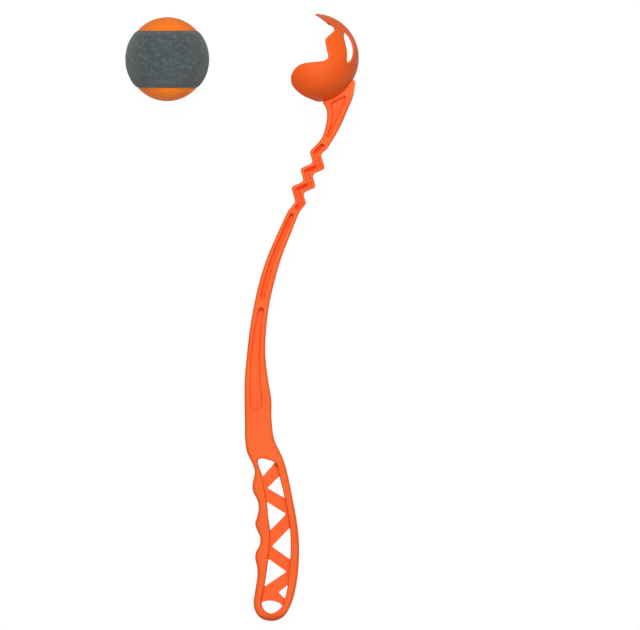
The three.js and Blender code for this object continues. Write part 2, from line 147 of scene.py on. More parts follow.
grip_outline_pixels = [
    [247, 451.5], [252.8, 464.1], [254.8, 470.4], [254.4, 475.5], [252.5, 485.6], [253.4, 491.9],
    [257.8, 500.7], [258.7, 508.3], [257.1, 517.1], [255.3, 522.8], [257.1, 529.7], [260.3, 537.3],
    [259.7, 544.9], [255.9, 552.5], [255.3, 557.5], [257.1, 566.4], [257.5, 575.2], [255.3, 590.4],
    [253.7, 603], [255.3, 610.6], [260.3, 617.5], [268.5, 620.7], [276, 620.3], [284, 616],
    [290, 606.8], [293.4, 597.9], [296, 586.6], [298.2, 571.4], [299.2, 551.2], [299, 541.1],
    [297.2, 523.4], [293.3, 502], [288.2, 476.7], [283.3, 459], [279.8, 451.5],
]
grip_window_pixels = [
    [257.1, 460.7], [258.9, 458.4], [262.3, 458.0], [274.6, 461.5], [277, 463.6], [279.6, 475],
    [284.9, 496.9], [288, 512.1], [290.4, 528.5], [291, 543.6], [290.6, 558.8], [288.3, 584],
    [285.6, 597.9], [283.2, 605.2], [277.9, 610.9], [271, 613.9], [264.6, 611.2], [261.4, 605.4],
    [260.9, 599.8], [264.2, 584], [267.9, 557.5], [269.2, 543.6], [269.5, 531], [267.9, 518.4],
    [266, 500.7], [261.8, 476.7],
]
truss_opening_pixels = [
    [[275.4, 462], [262, 455.5], [262.6, 476.6]],
    [[267.4, 488], [279.5, 475.7], [283.9, 497.6]],
    [[286.4, 513.8], [266.8, 501.5], [270.6, 530.1]],
    [[271.9, 546.3], [288.4, 529], [289.4, 559]],
    [[286.8, 571.5], [268.7, 558.7], [265.5, 586]],
    [[278.4, 592.2], [287.1, 585.1], [284.9, 598.8]],
]
hang_eye_pixels = [
    [256, 604.4], [261, 602.4], [265.4, 600.7], [270.4, 600.2], [276.6, 601.4], [282.4, 604.8], [288, 609.8],
    [288, 620], [256, 620],
]
# Each groove along the arm, at its top and its bottom: height in pixels, pixels off the arm's middle, and
# half width in millimetres
arm_grooves = [
    ([213.6, 299.4], [-0.5, -1.0], [1.8, 1.9]),
    ([307.4, 410.6], [0.3, -2.0], [2.2, 5.0]),
]

# How finely outlines are followed, in millimetres
outline_spacing = 0.9
zigzag_spacing = 0.6
truss_spacing = 0.3
arc_steps = 12
curve_steps = 12
groove_end_steps = 8
bell_reaches = 3

# Tolerances, in millimetres: points that count as one, places on a dividing line, and a slope's step
merge_distance = 1e-6
seam_near = 0.001
slope_step = 0.01

# Edge rounding in millimetres, by height along the thrower
edge_radius_heights = [-360.0, -310.0, -150.0, -120.0, -72.0, -60.0, -34.0, -24.0]
edge_radii = [2.8, 2.4, 1.9, 0.9, 1.1, 1.9, 1.7, 0.35]
rim_radius = 0.35
floor_radius = 0.55
groove_draft = 0.1
pocket_draft = 0.25
pocket_floor_radius = 0.4
pocket_corner_radii = [1.2, 1.2, 8.0, 8.0, 0.9, 0.9, 8.0, 8.0]
neck_root_reach = 2.5
neck_root_softness = 1.2
window_edge_radius = 0.8
window_draft = 0.1
finger_side_draft = 0.3
truss_edge_radius = 0.45
truss_hole_clearance = 0.15
truss_embed = 0.8
hole_softness = 0.95
edge_steps = 5
edge_rises = np.linspace(0, math.pi / 2, edge_steps + 1)

# The mirror image across the thrower's middle plane
across_z = np.array([1.0, 1.0, -1.0])


# Curves on the plane

def unit(vectors):
    """Vectors divided by their own lengths."""
    return vectors / np.linalg.norm(vectors, axis=-1, keepdims=True)


def smooth_curve(points, closed=False):
    """Centripetal Catmull-Rom curve: cubic spans whose knots lie the square root of each chord apart."""
    points = np.asarray(points, float)
    if closed:
        p0, p1 = np.roll(points, 1, axis=0), points
        p2, p3 = np.roll(points, -1, axis=0), np.roll(points, -2, axis=0)
    else:
        padded = np.vstack([2 * points[0] - points[1], points, 2 * points[-1] - points[-2]])
        p0, p1, p2, p3 = padded[:-3], padded[1:-2], padded[2:-1], padded[3:]
    first, second, third = (
        np.sqrt(np.linalg.norm(b - a, axis=1))[:, None, None] for a, b in ((p0, p1), (p1, p2), (p2, p3))
    )
    t1, t2, t3 = first, first + second, first + second + third
    t = t1 + second * np.linspace(0, 1, curve_steps, endpoint=False)[None, :, None]
    p0, p1, p2, p3 = (p[:, None, :] for p in (p0, p1, p2, p3))
    a1 = p0 + (p1 - p0) * t / t1
    a2 = p1 + (p2 - p1) * (t - t1) / second
    a3 = p2 + (p3 - p2) * (t - t2) / third
    b1 = a1 + (a2 - a1) * t / t2
    b2 = a2 + (a3 - a2) * (t - t1) / (t3 - t1)
    curve = (b1 + (b2 - b1) * (t - t1) / second).reshape(-1, points.shape[1])
    return curve if closed else np.vstack([curve, points[-1:]])


def evenly(points, spacing, closed=False):
    """The same line with points an equal length apart, its two ends kept."""
    line = np.vstack([points, points[:1]]) if closed else np.asarray(points, float)
    reach = np.concatenate([[0], np.cumsum(np.linalg.norm(np.diff(line, axis=0), axis=1))])
    count = max(int(round(reach[-1] / spacing)), 2)
    places = np.linspace(0, reach[-1], count + 1)
    even = np.column_stack([np.interp(places, reach, line[:, axis]) for axis in range(line.shape[1])])
    return even[:-1] if closed else even


def softened(loop, reach):
    """A closed line whose points are averaged with their neighbours by a bell curve of that reach."""
    spacing = np.linalg.norm(loop - np.roll(loop, 1, axis=0), axis=1).mean()
    span = int(bell_reaches * reach / spacing)
    offsets = np.arange(-span, span + 1)
    weights = np.exp(-0.5 * (offsets * spacing / reach) ** 2)
    near = (np.arange(len(loop))[:, None] + offsets[None, :]) % len(loop)
    return np.einsum("k,nkd->nd", weights / weights.sum(), loop[near])


def rounded_corners(points, radii):
    """A path whose inner corners are arcs of given radii, tangent to both sides of each corner."""
    points = np.asarray(points, float)
    corner = points[1:-1]
    incoming, outgoing = unit(corner - points[:-2]), unit(points[2:] - corner)
    cross = incoming[:, 0] * outgoing[:, 1] - incoming[:, 1] * outgoing[:, 0]
    turn = np.abs(np.arctan2(cross, np.sum(incoming * outgoing, axis=1)))
    side = np.sign(cross)[:, None] * np.column_stack([-incoming[:, 1], incoming[:, 0]])
    radius = np.asarray(radii, float)[:, None]
    start = corner - incoming * radius * np.tan(turn / 2)[:, None]
    angle = turn[:, None, None] * np.linspace(0, 1, arc_steps + 1)[None, :, None]
    radius, side, incoming, start = (part[:, None, :] for part in (radius, side, incoming, start))
    arcs = start + radius * (side * (1 - np.cos(angle)) + incoming * np.sin(angle))
    return np.vstack([points[:1], arcs.reshape(-1, 2), points[-1:]])


def with_steps(path, longest):
    """A path whose long straight parts get points between, none further apart than the longest step."""
    lengths = np.linalg.norm(np.diff(path, axis=0), axis=1)
    counts = np.maximum(np.ceil(lengths / longest).astype(int), 1)
    start = np.repeat(path[:-1], counts, axis=0)
    step = np.repeat(np.diff(path, axis=0) / counts[:, None], counts, axis=0)
    place = np.arange(counts.sum()) - np.repeat(np.cumsum(counts) - counts, counts)
    return np.vstack([start + step * place[:, None], path[-1:]])


def mitred(path, half_width):
    """A path moved to its left by a half width, with its corners mitred."""
    legs = unit(np.diff(path, axis=0))
    incoming, outgoing = np.vstack([legs[:1], legs]), np.vstack([legs, legs[-1:]])
    along = unit(incoming + outgoing)
    reach = half_width / np.sum(along * incoming, axis=1, keepdims=True)
    return path + reach * np.column_stack([-along[:, 1], along[:, 0]])


def outward(loop):
    """Unit vectors out of a closed line that runs counterclockwise, from each point's two neighbours."""
    along = unit(np.roll(loop, -1, axis=0) - np.roll(loop, 1, axis=0))
    return np.column_stack([along[:, 1], -along[:, 0]])


def turning(loop):
    """1 where a closed line runs counterclockwise and -1 where it runs clockwise."""
    x, y = loop[:, 0], loop[:, 1]
    return 1 if np.sum(x * np.roll(y, -1) - y * np.roll(x, -1)) > 0 else -1


def counterclockwise(loop):
    """The closed line, turned round where it runs clockwise."""
    return loop[::turning(loop)]


def on_plane(pixels, from_pixel, start, across, down):
    """Pixels of the side view as plane points, from one known place and the scale each way."""
    shift = np.asarray(pixels, float) - from_pixel
    return np.asarray(start) + shift * np.array([across, -down])


def at_height(xy, height):
    """Plane points or vectors with a third part, which is one number or one for each of them."""
    return np.column_stack([xy, np.broadcast_to(height, len(xy))])


def filled(loops, points, seams=(), extra=()):
    """Triangles that fill the first closed line around the others; loops and seams are rows of point numbers.

    Extra points lie inside. Returns the triangles and, for each, which of the loops hold it.
    """
    rings = [list(map(int, loop)) for loop in loops]
    named = rings + [list(map(int, seam)) for seam in seams] + [list(map(int, extra))]
    used = np.unique(np.concatenate(named).astype(int))
    number = {int(point): place for place, point in enumerate(used)}
    edges = [(number[int(a)], number[int(b)]) for seam in seams for a, b in zip(seam[:-1], seam[1:])]
    faces = [[number[point] for point in ring[::turning(points[ring])]] for ring in rings]
    _, _, triangles, sources, _, holders = triangulated(points[used], edges, faces)
    back = np.array([used[source[0]] for source in sources])
    kept = [place for place, holder in enumerate(holders) if 0 in holder]
    return back[np.array([triangles[place] for place in kept])], [set(holders[place]) for place in kept]


def triangulated(points, edges, faces):
    """Blender's Delaunay triangles of plane points that keep the edges and the rims of the faces."""
    return delaunay_2d_cdt([tuple(point) for point in points], edges, faces, 1, merge_distance)


# Meshes

class Skin:
    """Points with their own normals, and the faces between them, gathered before they become a mesh."""

    def __init__(self):
        self.points = np.empty((0, 3))
        self.normals = np.empty((0, 3))
        self.faces = []
        self.groups = []

    def add(self, points, normals):
        """Takes points with their normals and returns their numbers."""
        first = len(self.points)
        self.points = np.vstack([self.points, points])
        self.normals = np.vstack([self.normals, unit(normals)])
        return np.arange(first, first + len(points))

    def face(self, faces, group=0):
        """Takes rows of point numbers as faces; a group tells parts of the skin apart later."""
        faces = np.asarray(faces)
        self.faces.append(faces)
        self.groups.append(np.broadcast_to(group, len(faces)))

    def bands(self, rows, group=0):
        """Faces between each closed row of points and the next, which run side by side."""
        for first, second in zip(rows[:-1], rows[1:]):
            self.face(np.column_stack([first, np.roll(first, -1), np.roll(second, -1), second]), group)

    def mirrored(self):
        """Adds the skin's mirror image across z = 0; points on the middle plane are shared by both halves."""
        across = np.flatnonzero(self.points[:, 2] != 0)
        twin = np.arange(len(self.points))
        twin[across] = self.add(self.points[across] * across_z, self.normals[across] * across_z)
        self.faces += [twin[faces[:, ::-1]] for faces in self.faces]
        self.groups += self.groups


def used_only(faces):
    """The numbers of the points that faces use, and the faces by the new numbers of those points."""
    used, numbered = np.unique(np.concatenate([part.ravel() for part in faces]), return_inverse=True)
    parts = np.split(numbered, np.cumsum([part.size for part in faces])[:-1])
    return used, [part.reshape(old.shape) for part, old in zip(parts, faces) if len(part)]


def at_corners(values, faces):
    """The value of each face corner's point, face after face."""
    return np.vstack([values[part.ravel()] for part in faces])


def open_edges(faces, count):
    """The sides that only one face has, as pairs of point numbers below the count."""
    sides = [np.column_stack([part.ravel(), np.roll(part, -1, axis=1).ravel()]) for part in faces]
    pairs = np.vstack(sides)
    keys = np.sort(pairs, axis=1) @ np.array([count, 1])
    _, place, uses = np.unique(keys, return_index=True, return_counts=True)
    return pairs[place[uses == 1]]


def mesh_object(name, points, faces, corner_normals):
    """A mesh from whole arrays: points in metres, a list of face arrays and a normal for each face corner."""
    mesh = bpy.data.meshes.new(name)
    sides = np.concatenate([np.full(len(part), part.shape[1]) for part in faces])
    corners = np.concatenate([part.ravel() for part in faces])
    mesh.vertices.add(len(points))
    mesh.vertices.foreach_set("co", points.astype(np.float32).ravel())
    mesh.loops.add(len(corners))
    mesh.loops.foreach_set("vertex_index", corners.astype(np.int32))
    mesh.polygons.add(len(sides))
    mesh.polygons.foreach_set("loop_start", (np.cumsum(sides) - sides).astype(np.int32))
    mesh.update(calc_edges=True)
    mesh.polygons.foreach_set("use_smooth", np.ones(len(sides), bool))
    if mesh.validate():
        raise RuntimeError(f"{name} has faces that can't stand")
    mesh.normals_split_custom_set(corner_normals.tolist())
    piece = bpy.data.objects.new(name, mesh)
    bpy.context.scene.collection.objects.link(piece)
    return piece


def turn_about_x(angle):
    """A turn about the x axis as a matrix."""
    cosine, sine = math.cos(angle), math.sin(angle)
    return np.array([[1, 0, 0], [0, cosine, -sine], [0, sine, cosine]])


def laid(points, place, angle):
    """Points in millimetres, turned about the x axis by an angle and laid at a place, in metres."""
    return place + points @ turn_about_x(angle).T * metres_per_millimetre


def thrower_points(points):
    """Plane points, in millimetres, laid where the thrower lies, in metres."""
    return laid(points, cup_place, lean)


# Thickness and the stem's lines

def mixed(low, high, share):
    """A value that goes straight from low to high as the share goes from none to all."""
    return low + (high - low) * np.clip(share, 0, 1)


arm_scale = arm_drop / (arm_bottom_pixel[1] - arm_top_pixel[1])
neck_scale = abs(neck_end[1]) / (neck_end_pixel[1] - cup_centre_pixel[1])
cup_scale = cup_outer_radius / cup_radius_pixels
grip_scale = grip_length / (grip_end_pixel - arm_bottom_pixel[1])


def zigzag_path():
    """The middle line of the zigzag: neck end, six corners and the arm's top."""
    legs = [entry_leg] + [steep_leg, flat_leg] * zigzag_teeth
    legs[-1] = exit_leg
    return neck_end + np.vstack([np.zeros(2), np.cumsum(legs, axis=0)])


zigzag = zigzag_path()
arm_top = zigzag[-1]
arm_bottom = arm_top + np.array([(arm_bottom_pixel[0] - arm_top_pixel[0]) * arm_scale, -arm_drop])
grip_end = arm_bottom[1] - grip_length

# The dividing lines cross the stem at four corners of the zigzag, at right angles to this direction
seam_normal = unit(unit(steep_leg) + unit(flat_leg))
seam_along = np.array([-seam_normal[1], seam_normal[0]])
seam_places = zigzag[2:-2] @ seam_normal

# What on_plane takes for each part of the side view: a known pixel, its place, and the scale each way
cup_view = (cup_centre_pixel, np.zeros(2), cup_scale, cup_scale)
neck_view = (neck_end_pixel, neck_end, neck_scale, neck_scale)
arm_view = (arm_top_pixel, arm_top, arm_scale, arm_scale)
grip_view = (arm_bottom_pixel, arm_bottom, grip_width_scale, grip_scale)

# Where the beak and the side lobes leave the bowl
beak_root_x = (beak_root_pixel - cup_centre_pixel[0]) * cup_scale
claw_root_high, claw_root_low = on_plane(claw_root_pixels, *cup_view)
claw_root_line = unit(claw_root_low - claw_root_high)
claw_aside = np.array([claw_root_line[1], -claw_root_line[0]])


def millimetres(length):
    """A length of the sidebar, which is in metres, in millimetres."""
    return round(length / metres_per_millimetre, millimetre_digits)


def half_thickness(y):
    """Half the thickness: even on neck and grip, growing evenly between, and rounded at the grip's end."""
    share = (neck_end[1] - y) / (neck_end[1] - arm_bottom[1])
    even = mixed(neck_half_thickness, grip_half_thickness, share)
    below = np.clip(grip_end + grip_end_radius - y, 0, grip_end_radius)
    return even - grip_end_radius + np.sqrt(grip_end_radius ** 2 - below ** 2)


def truss_face(y):
    """Half the lattice's thickness, the same at every height."""
    return np.full(len(y), truss_half_thickness)


def face_normals(xy, out, rise, face=half_thickness):
    """Normals on a rounded edge: its outward line and the face's own normal, mixed by the rise's angle."""
    y = xy[:, 1]
    slope = (face(y + slope_step) - face(y - slope_step)) / (2 * slope_step)
    normals = at_height(out * np.cos(rise), np.sin(rise))
    normals[:, 1] -= slope * np.sin(rise)
    return normals


def stem_side(side):
    """The left (-1) or right (1) edge of the stem from the top down: its line on the neck, and its teeth."""
    pixels = neck_left_pixels if side < 0 else neck_right_pixels
    on_neck = on_plane(pixels, *neck_view)
    radii = [outer_corner_radius, inner_corner_radius][::-side] * zigzag_teeth
    corners = mitred(zigzag, side * zigzag_half_width)[1:-1]
    teeth = rounded_corners(np.vstack([on_neck[-1:], corners, arm_edge(side)[:1]]), radii)
    return evenly(smooth_curve(on_neck), outline_spacing)[:-1], with_steps(teeth, zigzag_spacing)[:-1]


def arm_edge(side):
    """The arm's left (-1) or right (1) edge, from its stations."""
    stations = np.array(arm_station_pixels)
    aside = side * stations[:, 2] * arm_width_scale / 2
    return on_plane(stations[:, :2], *arm_view) + np.column_stack([aside, np.zeros(len(stations))])


def stem_outline():
    """The stem's whole outline, counterclockwise: neck, zigzag, arm and grip in one smooth line.

    Points inside the cup's wall are moved out to the middle of the wall.
    """
    grip = on_plane(grip_outline_pixels, *grip_view)
    lower = evenly(smooth_curve(np.vstack([arm_edge(-1), grip, arm_edge(1)[::-1]])), outline_spacing)
    necks, teeth = zip(stem_side(-1), stem_side(1))
    necks = [neck[np.linalg.norm(neck, axis=1) > wall_middle_radius] for neck in necks]
    loop = np.vstack([necks[0], teeth[0], lower, teeth[1][::-1], necks[1][::-1]])
    loop = np.vstack([loop, evenly(loop[[-1, 0]], outline_spacing)[1:-1]])
    reach = np.linalg.norm(loop, axis=1, keepdims=True)
    loop = loop * np.maximum(1, wall_middle_radius / reach)
    root_share = np.clip((wall_middle_radius + neck_root_reach - reach) / neck_root_softness, 0, 1)
    return loop + (softened(loop, neck_root_softness) - loop) * root_share


def quarter_round(skin, loop, out, radius, rises, face=half_thickness):
    """Rows of points on a quarter round along a closed line, one for each rise of its normal.

    Out is the side that the round bulges to, and the radius may differ from point to point.
    """
    rows = []
    for rise in rises:
        xy = loop - out * np.reshape(radius * (1 - math.cos(rise)), (-1, 1))
        height = face(xy[:, 1]) - radius * (1 - math.sin(rise))
        rows.append(skin.add(at_height(xy, height), face_normals(xy, out, rise, face)))
    return rows


def outer_edge(skin, loop):
    """A quarter round carried along the outline, from the side wall up to the face; returns the last row."""
    out = outward(loop)
    radius = np.interp(loop[:, 1], edge_radius_heights, edge_radii)
    rows = quarter_round(skin, loop, out, radius, edge_rises)
    skin.bands([skin.add(at_height(loop, 0), at_height(out, 0))] + rows)
    return rows[-1]


def hole_edge(skin, loop, radius, walls, face=half_thickness):
    """A rounded edge carried along a hole and down its wall.

    The rounding is a quarter round that leaves the face and turns down. Walls lists the rows below it as
    inward move, depth and the normal's rise, with no depth for the middle plane. Returns the row on the
    face and the last row.
    """
    into = -outward(loop)
    rows = quarter_round(skin, loop, into, radius, edge_rises[::-1], face)
    for inward, depth, rise in walls:
        xy = loop + into * np.reshape(inward, (-1, 1))
        height = 0 if depth is None else face(xy[:, 1]) - depth
        rows.append(skin.add(at_height(xy, height), face_normals(xy, into, rise, face)))
    skin.bands(rows)
    return rows[0], rows[-1]


def recess_walls(depth, draft, foot):
    """The wall of a recess of a given depth, and the round at its foot, as rows for hole_edge."""
    rows = [(draft, depth - foot, 0)]
    for rise in edge_rises[1:]:
        rows.append((draft + foot * (1 - math.cos(rise)), depth - foot * (1 - math.sin(rise)), rise))
    return rows


def seam_rows(skin, rows):
    """Pairs of points of these rows that face each other across each dividing line of the zigzag."""
    numbers = np.concatenate(rows)
    xy = skin.points[numbers][:, :2]
    pairs = []
    for place in seam_places:
        on_line = np.flatnonzero(np.abs(xy @ seam_normal - place) < seam_near)
        ordered = numbers[on_line[np.argsort(xy[on_line] @ seam_along)]]
        pairs += [ordered[first:first + 2] for first in range(0, len(ordered) - 1, 2)]
    return pairs


def fill_flat(skin, rows, extra=()):
    """Faces that fill the first row of points around the others, divided at the zigzag's dividing lines."""
    triangles, holders = filled(rows, skin.points[:, :2], seam_rows(skin, rows), extra)
    skin.face(triangles[[holder == {0} for holder in holders]])


def round_ended(path, left, right, end_steps):
    """A closed line down a path's left side and back up its right side, with half circles at its ends."""
    angles = np.linspace(0, math.pi, end_steps + 1)[1:-1, None]
    ends = []
    for centre, start in ((path[-1], left[-1]), (path[0], right[0])):
        spoke = start - centre
        across = np.array([spoke[1], -spoke[0]])
        ends.append(centre + spoke * np.cos(angles) + across * np.sin(angles))
    return counterclockwise(np.vstack([left, ends[0], right[::-1], ends[1]]))


def zigzag_groove():
    """The groove along the zigzag, with rounded corners and round ends."""
    path = np.vstack([zigzag[:-1], mixed(zigzag[-2], zigzag[-1], groove_end_share)])
    radii = [groove_inner_corner_radius, groove_outer_corner_radius]
    sides = []
    for side in (1, -1):
        edge = rounded_corners(mitred(path, side * zigzag_groove_half_width), radii[::side] * zigzag_teeth)
        sides.append(with_steps(edge, zigzag_spacing))
    return round_ended(path, *sides, arc_steps)


def arm_groove(heights, shifts, half_widths):
    """A groove along the arm between two heights, its shift off the middle and half width growing evenly."""
    middle = smooth_curve(on_plane(np.array(arm_station_pixels)[:, :2], *arm_view))
    top, bottom = arm_top[1] - (np.array(heights) - arm_top_pixel[1]) * arm_scale
    ends = [top - half_widths[0], bottom + half_widths[1]]
    y = np.linspace(*ends, int((ends[0] - ends[1]) / outline_spacing))
    along = np.interp(-y, -middle[:, 1], middle[:, 0]) + np.linspace(*shifts, len(y)) * arm_width_scale
    path = np.column_stack([along, y])
    widths = np.linspace(*half_widths, len(path))[:, None]
    return round_ended(path, mitred(path, widths), mitred(path, -widths), groove_end_steps)


def stem_recesses(sizes):
    """The neck's pocket and the grooves: for each a closed line, and its depth, draft and foot."""
    pocket = on_plane(neck_pocket_pixels, *neck_view)
    around = np.vstack([pocket[-1:], pocket, pocket[:1]])
    pocket = with_steps(rounded_corners(around, pocket_corner_radii)[1:-1], zigzag_spacing)
    grooves = [zigzag_groove()] + [arm_groove(*ends) for ends in arm_grooves]
    pocket_walls = (millimetres(sizes.pocket_depth), pocket_draft, pocket_floor_radius)
    groove_walls = (millimetres(sizes.groove_depth), groove_draft, floor_radius)
    return [(counterclockwise(pocket), pocket_walls)] + [(groove, groove_walls) for groove in grooves]


def window_walls(loop):
    """The grip's inner wall as rows for hole_edge, drafted more on the finger side, and its draft."""
    draft = window_draft + finger_side_draft * np.clip(-outward(loop)[:, 0], 0, 1)
    recess = grip_half_thickness - truss_half_thickness
    return [(draft / 2, recess / 2, 0), (draft, recess, 0), (draft, None, 0)], draft


def grip_window():
    """The opening of the grip as a closed line."""
    points = on_plane(grip_window_pixels, *grip_view)
    return counterclockwise(evenly(smooth_curve(points, closed=True), outline_spacing, closed=True))


def end_grid(edge):
    """Plane points in even rows over the grip's rounded end, where the face curves."""
    top = grip_end + grip_end_radius
    across = edge[edge[:, 1] < top][:, 0]
    xs = np.arange(across.min(), across.max(), outline_spacing)
    heights = np.linspace(grip_end + edge_radii[0], top, 2 * edge_steps)
    return np.stack(np.meshgrid(xs, heights), axis=-1).reshape(-1, 2)


def inside_loop(points, loop):
    """Which points lie inside a closed line, by counting the sides crossed on the way to the right."""
    a, b = loop, np.roll(loop, -1, axis=0)
    x, y = points[:, :1], points[:, 1:]
    crosses = (a[None, :, 1] > y) != (b[None, :, 1] > y)
    with np.errstate(divide="ignore", invalid="ignore"):
        at = a[:, 0] + (y - a[:, 1]) * (b[:, 0] - a[:, 0]) / (b[:, 1] - a[:, 1])
    return (np.sum(crosses & (x < at), axis=1) % 2) == 1


def stem_skin(sizes):
    """The whole stem: outline, grooves, neck pocket and grip opening, mirrored across the middle plane."""
    skin = Skin()
    top = outer_edge(skin, stem_outline())
    window = grip_window()
    window_top, _ = hole_edge(skin, window, window_edge_radius, window_walls(window)[0])
    rims, floors = [], []
    for loop, walls in stem_recesses(sizes):
        rim, floor = hole_edge(skin, loop, rim_radius, recess_walls(*walls))
        rims.append(rim)
        floors.append(floor)
    edge, hole = (skin.points[row][:, :2] for row in (top, window_top))
    grid = end_grid(edge)
    grid = grid[inside_loop(grid, edge) & ~inside_loop(grid, hole)]
    upright = face_normals(grid, np.zeros_like(grid), math.pi / 2)
    extra = skin.add(at_height(grid, half_thickness(grid[:, 1])), upright)
    fill_flat(skin, [top, window_top] + rims, extra)
    for floor in floors:
        fill_flat(skin, [floor])
    skin.mirrored()
    return skin


def stem_piece(skin, name, group):
    """One length of the stem between two dividing lines, closed flat where it is divided."""
    faces = []
    for part in skin.faces:
        middle = skin.points[part].mean(axis=1)[:, :2] @ seam_normal
        faces.append(part[np.searchsorted(seam_places, middle) == group])
    edges = open_edges(faces, len(skin.points))
    sides = [at_corners(skin.normals, faces)]
    for place, facing in ((group - 1, -1), (group, 1)):
        if not 0 <= place < len(seam_places):
            continue
        off_line = np.abs(skin.points[edges][:, :, :2] @ seam_normal - seam_places[place])
        used, numbered = np.unique(edges[np.all(off_line < seam_near, axis=1)], return_inverse=True)
        flat = np.column_stack([skin.points[used][:, :2] @ seam_along, skin.points[used][:, 2]])
        result = triangulated(flat, numbered.reshape(-1, 2).tolist(), [])
        back = np.array([used[source[0]] for source in result[3]])
        normal = np.append(seam_normal * facing, 0)
        faces.append(cap_facing(back[np.array(result[2])], skin.points, normal))
        sides.append(np.tile(normal, (faces[-1].size, 1)))
    return thrower_piece(name, skin.points, faces, np.vstack(sides))


def thrower_piece(name, points, faces, corner_normals):
    """A mesh of the thrower from plane points, with only the points that its faces use."""
    used, faces = used_only(faces)
    return mesh_object(name, thrower_points(points[used]), faces, corner_normals @ turn_about_x(lean).T)


# Truss inside the grip

def clipped(polygon, loop):
    """The part of a polygon inside a closed line, as one closed line."""
    points = np.vstack([counterclockwise(polygon), counterclockwise(loop)])
    faces = [list(range(len(polygon))), list(range(len(polygon), len(points)))]
    found, _, triangles, _, _, holders = triangulated(points, [], faces)
    kept = np.array([face for face, holder in zip(triangles, holders) if len(set(holder)) == len(faces)])
    edges = open_edges([kept], len(found))
    following = dict(edges.tolist())
    chain = [int(edges[0, 0])]
    while following[chain[-1]] != chain[0]:
        chain.append(following[chain[-1]])
    return np.array([tuple(found[place]) for place in chain])


def truss_skin():
    """The lattice: a plate let into the grip's inner wall, with six rounded openings and the hang eye."""
    window = grip_window()
    out = outward(window)
    plate = window + out * truss_embed
    reach = window - out * (window_walls(window)[1] + truss_hole_clearance)[:, None]
    skin = Skin()
    polygons = []
    for opening in truss_opening_pixels:
        corner, *rims = on_plane(opening, *grip_view)
        polygons.append(np.vstack([corner, *(corner + (rim - corner) * truss_reach_share for rim in rims)]))
    polygons.append(on_plane(hang_eye_pixels, *grip_view))
    top = skin.add(at_height(plate, truss_half_thickness), at_height(np.zeros_like(plate), 1))
    low = skin.add(at_height(plate, 0), at_height(out, 0))
    skin.bands([low, top])
    rows = [top]
    for polygon in polygons:
        hole = evenly(clipped(polygon, reach), truss_spacing, closed=True)
        hole = counterclockwise(softened(hole, hole_softness))
        rows.append(hole_edge(skin, hole, truss_edge_radius, [(0, None, 0)], truss_face)[0])
    fill_flat(skin, rows)
    skin.mirrored()
    return skin


# Cup

def on_sphere(xy, radius):
    """Points of the side view lifted to the near half of a sphere about the cup's centre."""
    reach = np.linalg.norm(xy, axis=1, keepdims=True)
    xy = xy * np.minimum(1, radius / np.maximum(reach, radius / 2))
    depth = np.sqrt(np.maximum(radius ** 2 - np.sum(xy ** 2, axis=1), 0))
    return np.column_stack([xy, depth])


def on_map(directions):
    """Unit directions from the cup's centre on a flat map: a stereographic view from behind the cup.

    Across is minus z and up is y, both times 2 / (1 + x), so that shapes keep their angles.
    """
    stretch = 2 / (1 + directions[:, :1])
    return directions[:, [2, 1]] * np.array([-1, 1]) * stretch


def opening_half():
    """Directions of the opening's near half, from the beak's tip down, and the roots' places on it."""
    line = on_sphere(smooth_curve(on_plane(beak_edge_pixels, *cup_view)), cup_outer_radius)
    line[[0, -1], 2] = 0
    line[[0, -1]] = unit(line[[0, -1]]) * cup_outer_radius
    beak_at = np.flatnonzero(line[:, 0] > beak_root_x)[0]
    claw_at = np.flatnonzero(np.diff(np.sign((line[:, :2] - claw_root_high) @ claw_aside)) != 0)
    claw_at = claw_at[claw_at > len(line) / 2]
    knots = [0, beak_at, claw_at[0], claw_at[-1], len(line) - 1]
    sections = [evenly(line[a:b + 1], cup_spacing) for a, b in zip(knots[:-1], knots[1:])]
    places = np.cumsum([0] + [len(section) - 1 for section in sections])
    half = np.vstack([section[:-1] for section in sections] + [line[-1:]])
    return unit(half), places


def window_directions():
    """The near window's outline as directions from the cup's centre; it is traced on the front view."""
    traced = on_plane(window_pixels, np.zeros(2), np.zeros(2), cup_scale, cup_scale)
    flat = evenly(smooth_curve(traced, closed=True), cup_spacing, closed=True)
    depth = np.sqrt(cup_outer_radius ** 2 - np.sum(flat ** 2, axis=1))
    return unit(np.column_stack([depth, flat[:, 1], flat[:, 0]]))


def lip(skin, outer, inner, side):
    """A half round carried along an edge of the cup's wall, from its outer face to its inner face.

    Outer and inner are the edge's directions on the two faces. The edge runs counterclockwise as seen from
    outside; side is 1 where the wall lies inside it, and -1 where the edge goes round a window.
    """
    along = unit(np.roll(outer, -1, axis=0) - np.roll(outer, 1, axis=0))
    into = side * np.cross(outer, along)
    turns = np.linspace(0, math.pi, cup_lip_steps + 1)[:, None, None]
    line = outer + (inner - outer) * (1 - np.cos(turns)) / 2
    line = unit(line + into * half_wall * (1 - np.sin(turns)) / wall_middle_radius)
    surface = line * (wall_middle_radius + half_wall * np.cos(turns))
    forward = np.roll(surface, -1, axis=1) - np.roll(surface, 1, axis=1)
    normals = side * np.cross(np.gradient(surface, axis=0), forward)
    normals[0], normals[-1] = line[0], -line[-1]
    return [skin.add(points, facing) for points, facing in zip(surface, normals)]


